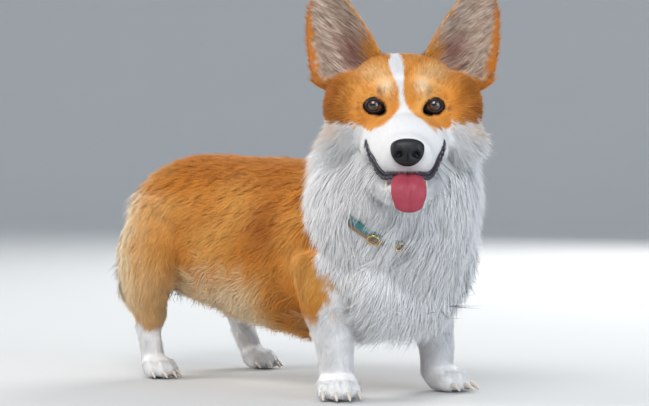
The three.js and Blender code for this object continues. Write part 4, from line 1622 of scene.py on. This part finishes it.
class CORGI_OT_mouth(bpy.types.Operator):
    """Makes the lips, the tongue and the two lower canines"""

    bl_idname = "corgi.mouth"
    bl_label = "Mouth"

    def execute(self, context):
        lips = wet_material("lip_skin", (0.008, 0.007, 0.010), (0.060, 0.050, 0.075), 0.38, 600, 0.0005)
        for name, side in SIDES.items():
            upper = closed(from_head(bead(lip_line(side, 40), 1.7, 1.6)))
            path = lip_line(side, 80)
            t = np.linspace(0, 1, len(path))
            hang = ramp(t, 0.0, 0.25)
            path = path + stacked(side * (2.2 - 1.2 * t) * hang, 0, -3.9 * hang)
            swell = (1.0 + 1.5 * ramp(t, 0.15, 0.65) + 0.40 * np.sin(t * 75) * hang)[:, None, None]
            lower = closed(from_head(bead(path, 1.15 * swell, swell, 18)))
            piece("lips_" + name, *joined([upper, lower]), "nose_leather", lips)
        self.tongue(context.scene.corgi_face)
        self.teeth()
        return {"FINISHED"}

    def tongue(self, settings):
        """The tongue's tube with a groove down its middle and a low swell on each side of it."""
        around, along = 96, 120
        grid = TONGUE.grid(around, along)
        top, under = (TONGUE.place(place, np.linspace(0, 1, along)) for place in (0.25, 0.75))
        off = grid[..., 0] - (top[:, None, 0] * 0.5 + under[:, None, 0] * 0.5)
        upper = np.sin(full_turn(around)) > 0
        groove = np.exp(-((off / 1.6) ** 2)) * np.where(upper, 1.1, -0.66)
        swell = np.exp(-(((np.abs(off) - 8) / 5) ** 2)) * np.where(upper, 0.8, 0)
        grid = grid + unit(top - under)[:, None] * (swell - groove)[..., None]
        shop = Shop("tongue")
        pink = np.array(settings.tongue)
        shop.mottle(pink * 0.80, np.minimum(pink * np.array([1.10, 1.5, 1.45]), 1), 120, 4)
        shop.set(Roughness=0.5, Specular_IOR_Level=0.25, Coat_Weight=0.10, Coat_Roughness=0.2)
        shop.bump(shop.cells(1300.0, "F1"), 0.0003, 0.6)
        piece("tongue_flesh", *closed(from_head(grid)), "tongue", shop.material, ["tongue"])

    def teeth(self):
        """The lower canines, curved cones."""
        shop = Shop("tooth")
        shop.mottle((0.80, 0.74, 0.62), (0.62, 0.52, 0.36), 260, 3)
        shop.set(Roughness=0.22, Coat_Weight=0.5, Coat_Roughness=0.08)
        for name, side in SIDES.items():
            stations = [
                [side * 20.3, -59, -89, 2.2, 2.6],
                [side * 20.9, -60.5, -83, 1.7, 1.9],
                [side * 20.6, -62, -78.5, 0.7, 0.8],
            ]
            cone = closed(from_head(Tube(stations, steps=2, dome=1, ends=(1, 2.4)).grid(24, 20)))
            piece("canine_" + name + "_crown", *cone, "tooth", shop.material, ["canine_" + name])


def whisker_paths(longest, draws):
    """Curved paths of the whiskers from three rows of three on each pad beside the nose: a straight way,
    bent back and down by the square of how far along it is."""
    paths = []
    t = np.linspace(0, 1, 9)[:, None]
    for side in SIDES.values():
        for row in range(3):
            for i in range(3):
                y, z = -70 + 9 * i, -57 - 4.6 * row
                x = skin_side(np.array([y]), np.array([z]), side)[0]
                way = unit(np.array([side * 0.62, 0.42 + 0.16 * i, -0.35 - 0.22 * row]))
                length = longest * draws.uniform(0.55, 1.0)
                paths.append(np.array([x, y, z]) + (way * t + np.array([0, 0.10, -0.16]) * t**2) * length)
    return paths


class CORGI_OT_whiskers(bpy.types.Operator):
    """Sets the whiskers beside the nose"""

    bl_idname = "corgi.whiskers"
    bl_label = "Whiskers"

    def execute(self, context):
        shop = Shop("whisker")
        shop.mottle((0.03, 0.025, 0.022), (0.10, 0.08, 0.07), 90, 2)
        shop.set(Roughness=0.4)
        draws = np.random.default_rng(19)
        paths = whisker_paths(context.scene.corgi_face.whisker / MM, draws)
        hairs = [closed(from_head(bead(path, 0.15, 0.15, 5))) for path in paths]
        piece("whiskers", *joined(hairs), "nose_leather", shop.material)
        return {"FINISHED"}


# Claws

class CORGI_OT_claws(bpy.types.Operator):
    """Sets the claws of each paw"""

    bl_idname = "corgi.claws"
    bl_label = "Claws"

    def execute(self, context):
        shop = Shop("claw")
        stripe = shop.mottle((0.46, 0.39, 0.34), (0.70, 0.63, 0.56), 420, 3)
        shop.set(Roughness=0.38, Coat_Weight=0.2, Coat_Roughness=0.2)
        shop.bump(stripe, 0.0003, 0.4)
        for name, leg in LEGS.items():
            paw = name.replace("leg", "paw")
            parts = [closed(from_paw(claw(*each).grid(24, 28), leg)) for each in TOES]
            nodes = [f"{paw}_claw_{i + 1}" for i in range(len(TOES))]
            piece(paw + "_claws", *joined(parts), "claw", shop.material, nodes)
        return {"FINISHED"}


# Collar

def on_neck(around, offset, lift):
    """A point at the collar's height round the neck, `offset` along it and `lift` above its surface."""
    middle = COLLAR["along"] + COLLAR["dip"] * np.cos(2 * math.pi * (around - COLLAR["lowest"]))
    return NECK.place(around % 1, middle + offset, lift)


def strap_material(settings):
    """Woven webbing in two colours: threads as waves across and along its own map, and a stitched seam."""
    shop = Shop("webbing")
    shop.shaded_marks((0.6, 0.6, 0.6), shop.noise(400, 2) * 0.5)
    uv = shop.node("ShaderNodeUVMap", {"uv_map": "Weave"}, {})["UV"]
    warp, weft = (
        shop.node(
            "ShaderNodeTexWave", {"bands_direction": way}, {"Vector": uv, "Scale": scale, "Distortion": 0.4}
        )["Fac"]
        for way, scale in (("X", 55.0), ("Y", 4.0))
    )
    shop.set(Roughness=0.72, Sheen_Weight=0.3)
    shop.bump(warp * 0.5 + weft * 0.5, 0.0006, 0.8)
    return shop.material


def brass_material():
    """Polished brass with a darker bloom, a little rougher where it is."""
    shop = Shop("polished_brass")
    bloom = shop.mottle((0.74, 0.52, 0.20), (0.50, 0.33, 0.11), 300, 3)
    shop.set(Metallic=1.0, Roughness=bloom * 0.15 + 0.18)
    return shop.material


class CORGI_OT_collar(bpy.types.Operator):
    """Lays the collar round the neck, with its ring and buckle"""

    bl_idname = "corgi.collar"
    bl_label = "Collar"

    def execute(self, context):
        settings = context.scene.corgi_collar
        around, section = np.arange(240) / 240, full_turn(20)
        width, depth = blunted(np.cos(section), 0.25), blunted(np.sin(section), 0.6)
        inner, outer = 0.35, COLLAR["thick"]
        lift = (outer + inner) / 2 + depth * (outer - inner) / 2
        grid = on_neck(around[:, None], COLLAR["half"] * width, lift)
        made = piece("collar_webbing", *looped(grid), "strap", strap_material(settings), ["collar"])
        share = np.tile(width, len(around))
        bands = mixed(settings.upper, settings.lower, ramp(share, 0.30, 0.34))
        seam = np.exp(-(((share - 0.32) / 0.05) ** 2))
        paint(made.data, "Markings", mixed(bands, (0.75, 0.68, 0.5), 0.5 * seam))
        corner = read_whole(made.data.loops, "vertex_index")
        turn = np.repeat(around, len(section))[corner].reshape(-1, 4)
        turn = np.where((np.ptp(turn, 1)[:, None] > 0.5) & (turn < 0.5), turn + 1, turn)
        mapped(made, "Weave", np.stack([turn.ravel() * 8, share[corner]], -1))
        self.fittings()
        return {"FINISHED"}

    def fittings(self):
        """A D-shaped ring and a square buckle, wires along closed paths on the collar's face."""
        brass = brass_material()
        angle = full_turn(64)
        ring = np.stack([7 * np.cos(angle), np.clip(7 * np.sin(angle), -4.6, None)], -1)
        square = 4.9 * np.stack([blunted(np.cos(angle), 0.35), blunted(np.sin(angle), 0.35)], -1)
        d_ring = self.wire(ring, COLLAR["ring"], 0.006, 1.3)
        piece("collar_d_ring", *d_ring, "brass", brass, ["collar_ring"])
        buckle = self.wire(square, COLLAR["buckle"], 0.0, 1.0)
        piece("collar_buckle_frame", *buckle, "brass", brass, ["collar_buckle"])

    def wire(self, path, around, down, radius):
        """A round wire along a flat closed path on the collar's face: the path's point, plus the circle's
        cosine times the direction square to the path, plus its sine times the way out of the face."""
        at = on_neck(around, down, COLLAR["thick"] + radius + 0.7)
        out = unit(on_neck(around, down, 20.0) - at)
        along = unit(on_neck(around + 0.01, down, 0.0) - on_neck(around - 0.01, down, 0.0))
        across = unit(np.cross(out, along))
        along = np.cross(across, out)
        ahead = unit(np.roll(path, -1, 0) - np.roll(path, 1, 0))
        side = np.stack([ahead[:, 1], -ahead[:, 0]], -1)
        circle = full_turn(12)[:, None]
        flat = path[:, None] + side[:, None] * radius * np.cos(circle)
        return looped(at + flat[..., :1] * along + flat[..., 1:] * across + radius * np.sin(circle) * out)


# Stage

# The floor: half its length, its rows, the radius of its flat part and that of its bend, in metres
FLOOR_HALF = 9.0
FLOOR_ROWS = 61
FLOOR_FLAT = 4.5
FLOOR_BEND = 3.0

# The camera's place, and how far it is turned from -Y towards the dog's left and dipped, in degrees
CAMERA = {"at": (-1.8839, -2.4154, 0.3142), "turn": 38.5, "dip": 1.8405}

SKY = (0.76, 0.87, 1.0)
SKY_STRENGTH = 0.72
AIM = (0, 0, 0.22)

# Soft lights: place, size, power and tint
LIGHTS = {
    "key": ((-2.4, -2.1, 2.8), 2.2, 108, (1.0, 0.97, 0.93)),
    "fill": ((0.4, -3.5, 0.9), 2.4, 62, (0.78, 0.89, 1.0)),
    "back_left": ((2.7, 1.3, 1.7), 1.8, 84, (1.0, 0.99, 0.97)),
    "back_right": ((-2.3, 2.2, 1.7), 1.8, 70, (1.0, 0.98, 0.95)),
}


def floor_grid():
    """The floor: a flat disc, bent up round its edge by part of a circle and then a steep slope."""
    u = np.linspace(-FLOOR_HALF, FLOOR_HALF, FLOOR_ROWS)
    wide, deep = np.meshgrid(u, u, indexing="ij")
    past = np.clip(np.hypot(wide, deep) - FLOOR_FLAT, 0, None)
    bend = FLOOR_BEND - np.sqrt(np.clip(FLOOR_BEND**2 - past**2, 0, None))
    return stacked(wide, deep, bend + 3 * np.clip(past - FLOOR_BEND, 0, None))


def area_light(name, at, size, power, tint):
    """A square soft light at a place, aimed at the dog."""
    data = bpy.data.lights.new(name, "AREA")
    data.size = size
    data.energy = power
    data.color = tint
    light = bpy.data.objects.new(name, data)
    bpy.context.scene.collection.objects.link(light)
    way = Vector(AIM) - Vector(at)
    light.location = at
    light.rotation_euler = way.to_track_quat("-Z", "Y").to_euler()


class CORGI_OT_stage(bpy.types.Operator):
    """Puts up the floor, the lights and the camera"""

    bl_idname = "corgi.stage"
    bl_label = "Stage"

    def execute(self, context):
        settings = context.scene.corgi_stage
        shop = Shop("floor")
        pale = np.array(settings.floor)
        shop.mottle(pale, pale * 0.97, 3, 2)
        shop.set(Roughness=0.9)
        index = np.arange(FLOOR_ROWS**2).reshape(FLOOR_ROWS, FLOOR_ROWS)
        corners = (index[:-1, :-1], index[1:, :-1], index[1:, 1:], index[:-1, 1:])
        quads = np.stack(corners, -1).reshape(-1, 4)
        mesh = raw_mesh("floor", floor_grid().reshape(-1, 3), [quads])
        mesh.materials.append(shop.material)
        floor = bpy.data.objects.new("floor", mesh)
        context.scene.collection.objects.link(floor)
        self.lights(context)
        self.camera(context, settings)
        return {"FINISHED"}

    def lights(self, context):
        """A pale sky all round, a large key light over the camera's left and weaker ones beside and
        behind."""
        world = bpy.data.worlds.new("studio")
        context.scene.world = world
        world.use_nodes = True
        background = world.node_tree.nodes["Background"]
        background.inputs["Color"].default_value = colour(SKY)
        background.inputs["Strength"].default_value = SKY_STRENGTH
        for name, light in LIGHTS.items():
            area_light(name, *light)
        context.scene.view_settings.view_transform = "Standard"

    def camera(self, context, settings):
        """The photograph's view: a long lens at the dog's height, turned and dipped a little."""
        data = bpy.data.cameras.new("camera")
        data.lens = settings.lens
        data.sensor_width = 36.0
        data.clip_end = 200
        made = bpy.data.objects.new("camera", data)
        context.scene.collection.objects.link(made)
        made.location = np.array(CAMERA["at"]) + ORIGIN * MM
        made.rotation_euler = (math.radians(90 - CAMERA["dip"]), 0, math.radians(-CAMERA["turn"]))
        context.scene.camera = made


# Add-on

STEPS = ("skin", "coat", "eyes", "lids", "nose", "mouth", "whiskers", "claws", "collar", "stage")


class CORGI_PT_panel(bpy.types.Panel):
    """Lists the steps that build the corgi"""

    bl_idname = "CORGI_PT_panel"
    bl_label = "Corgi"
    bl_space_type = "VIEW_3D"
    bl_region_type = "UI"
    bl_category = "Corgi"

    def draw(self, context):
        for step in STEPS:
            self.layout.operator("corgi." + step)


GROUPS = {
    "corgi_coat": CORGI_PG_coat,
    "corgi_face": CORGI_PG_face,
    "corgi_collar": CORGI_PG_collar,
    "corgi_stage": CORGI_PG_stage,
}
CLASSES = (
    *GROUPS.values(), CORGI_OT_skin, CORGI_OT_coat, CORGI_OT_eyes, CORGI_OT_lids, CORGI_OT_nose,
    CORGI_OT_mouth, CORGI_OT_whiskers, CORGI_OT_claws, CORGI_OT_collar, CORGI_OT_stage, CORGI_PT_panel,
)


def register():
    """Registers the classes and gives every scene the groups of settings."""
    for each in CLASSES:
        bpy.utils.register_class(each)
    for name, group in GROUPS.items():
        setattr(bpy.types.Scene, name, bpy.props.PointerProperty(type=group))


def unregister():
    """Takes back what register did."""
    for name in GROUPS:
        delattr(bpy.types.Scene, name)
    for each in reversed(CLASSES):
        bpy.utils.unregister_class(each)


def main():
    """Builds the corgi."""
    register()
    for step in STEPS:
        getattr(bpy.ops.corgi, step)()


if __name__ == "__main__":
    main()
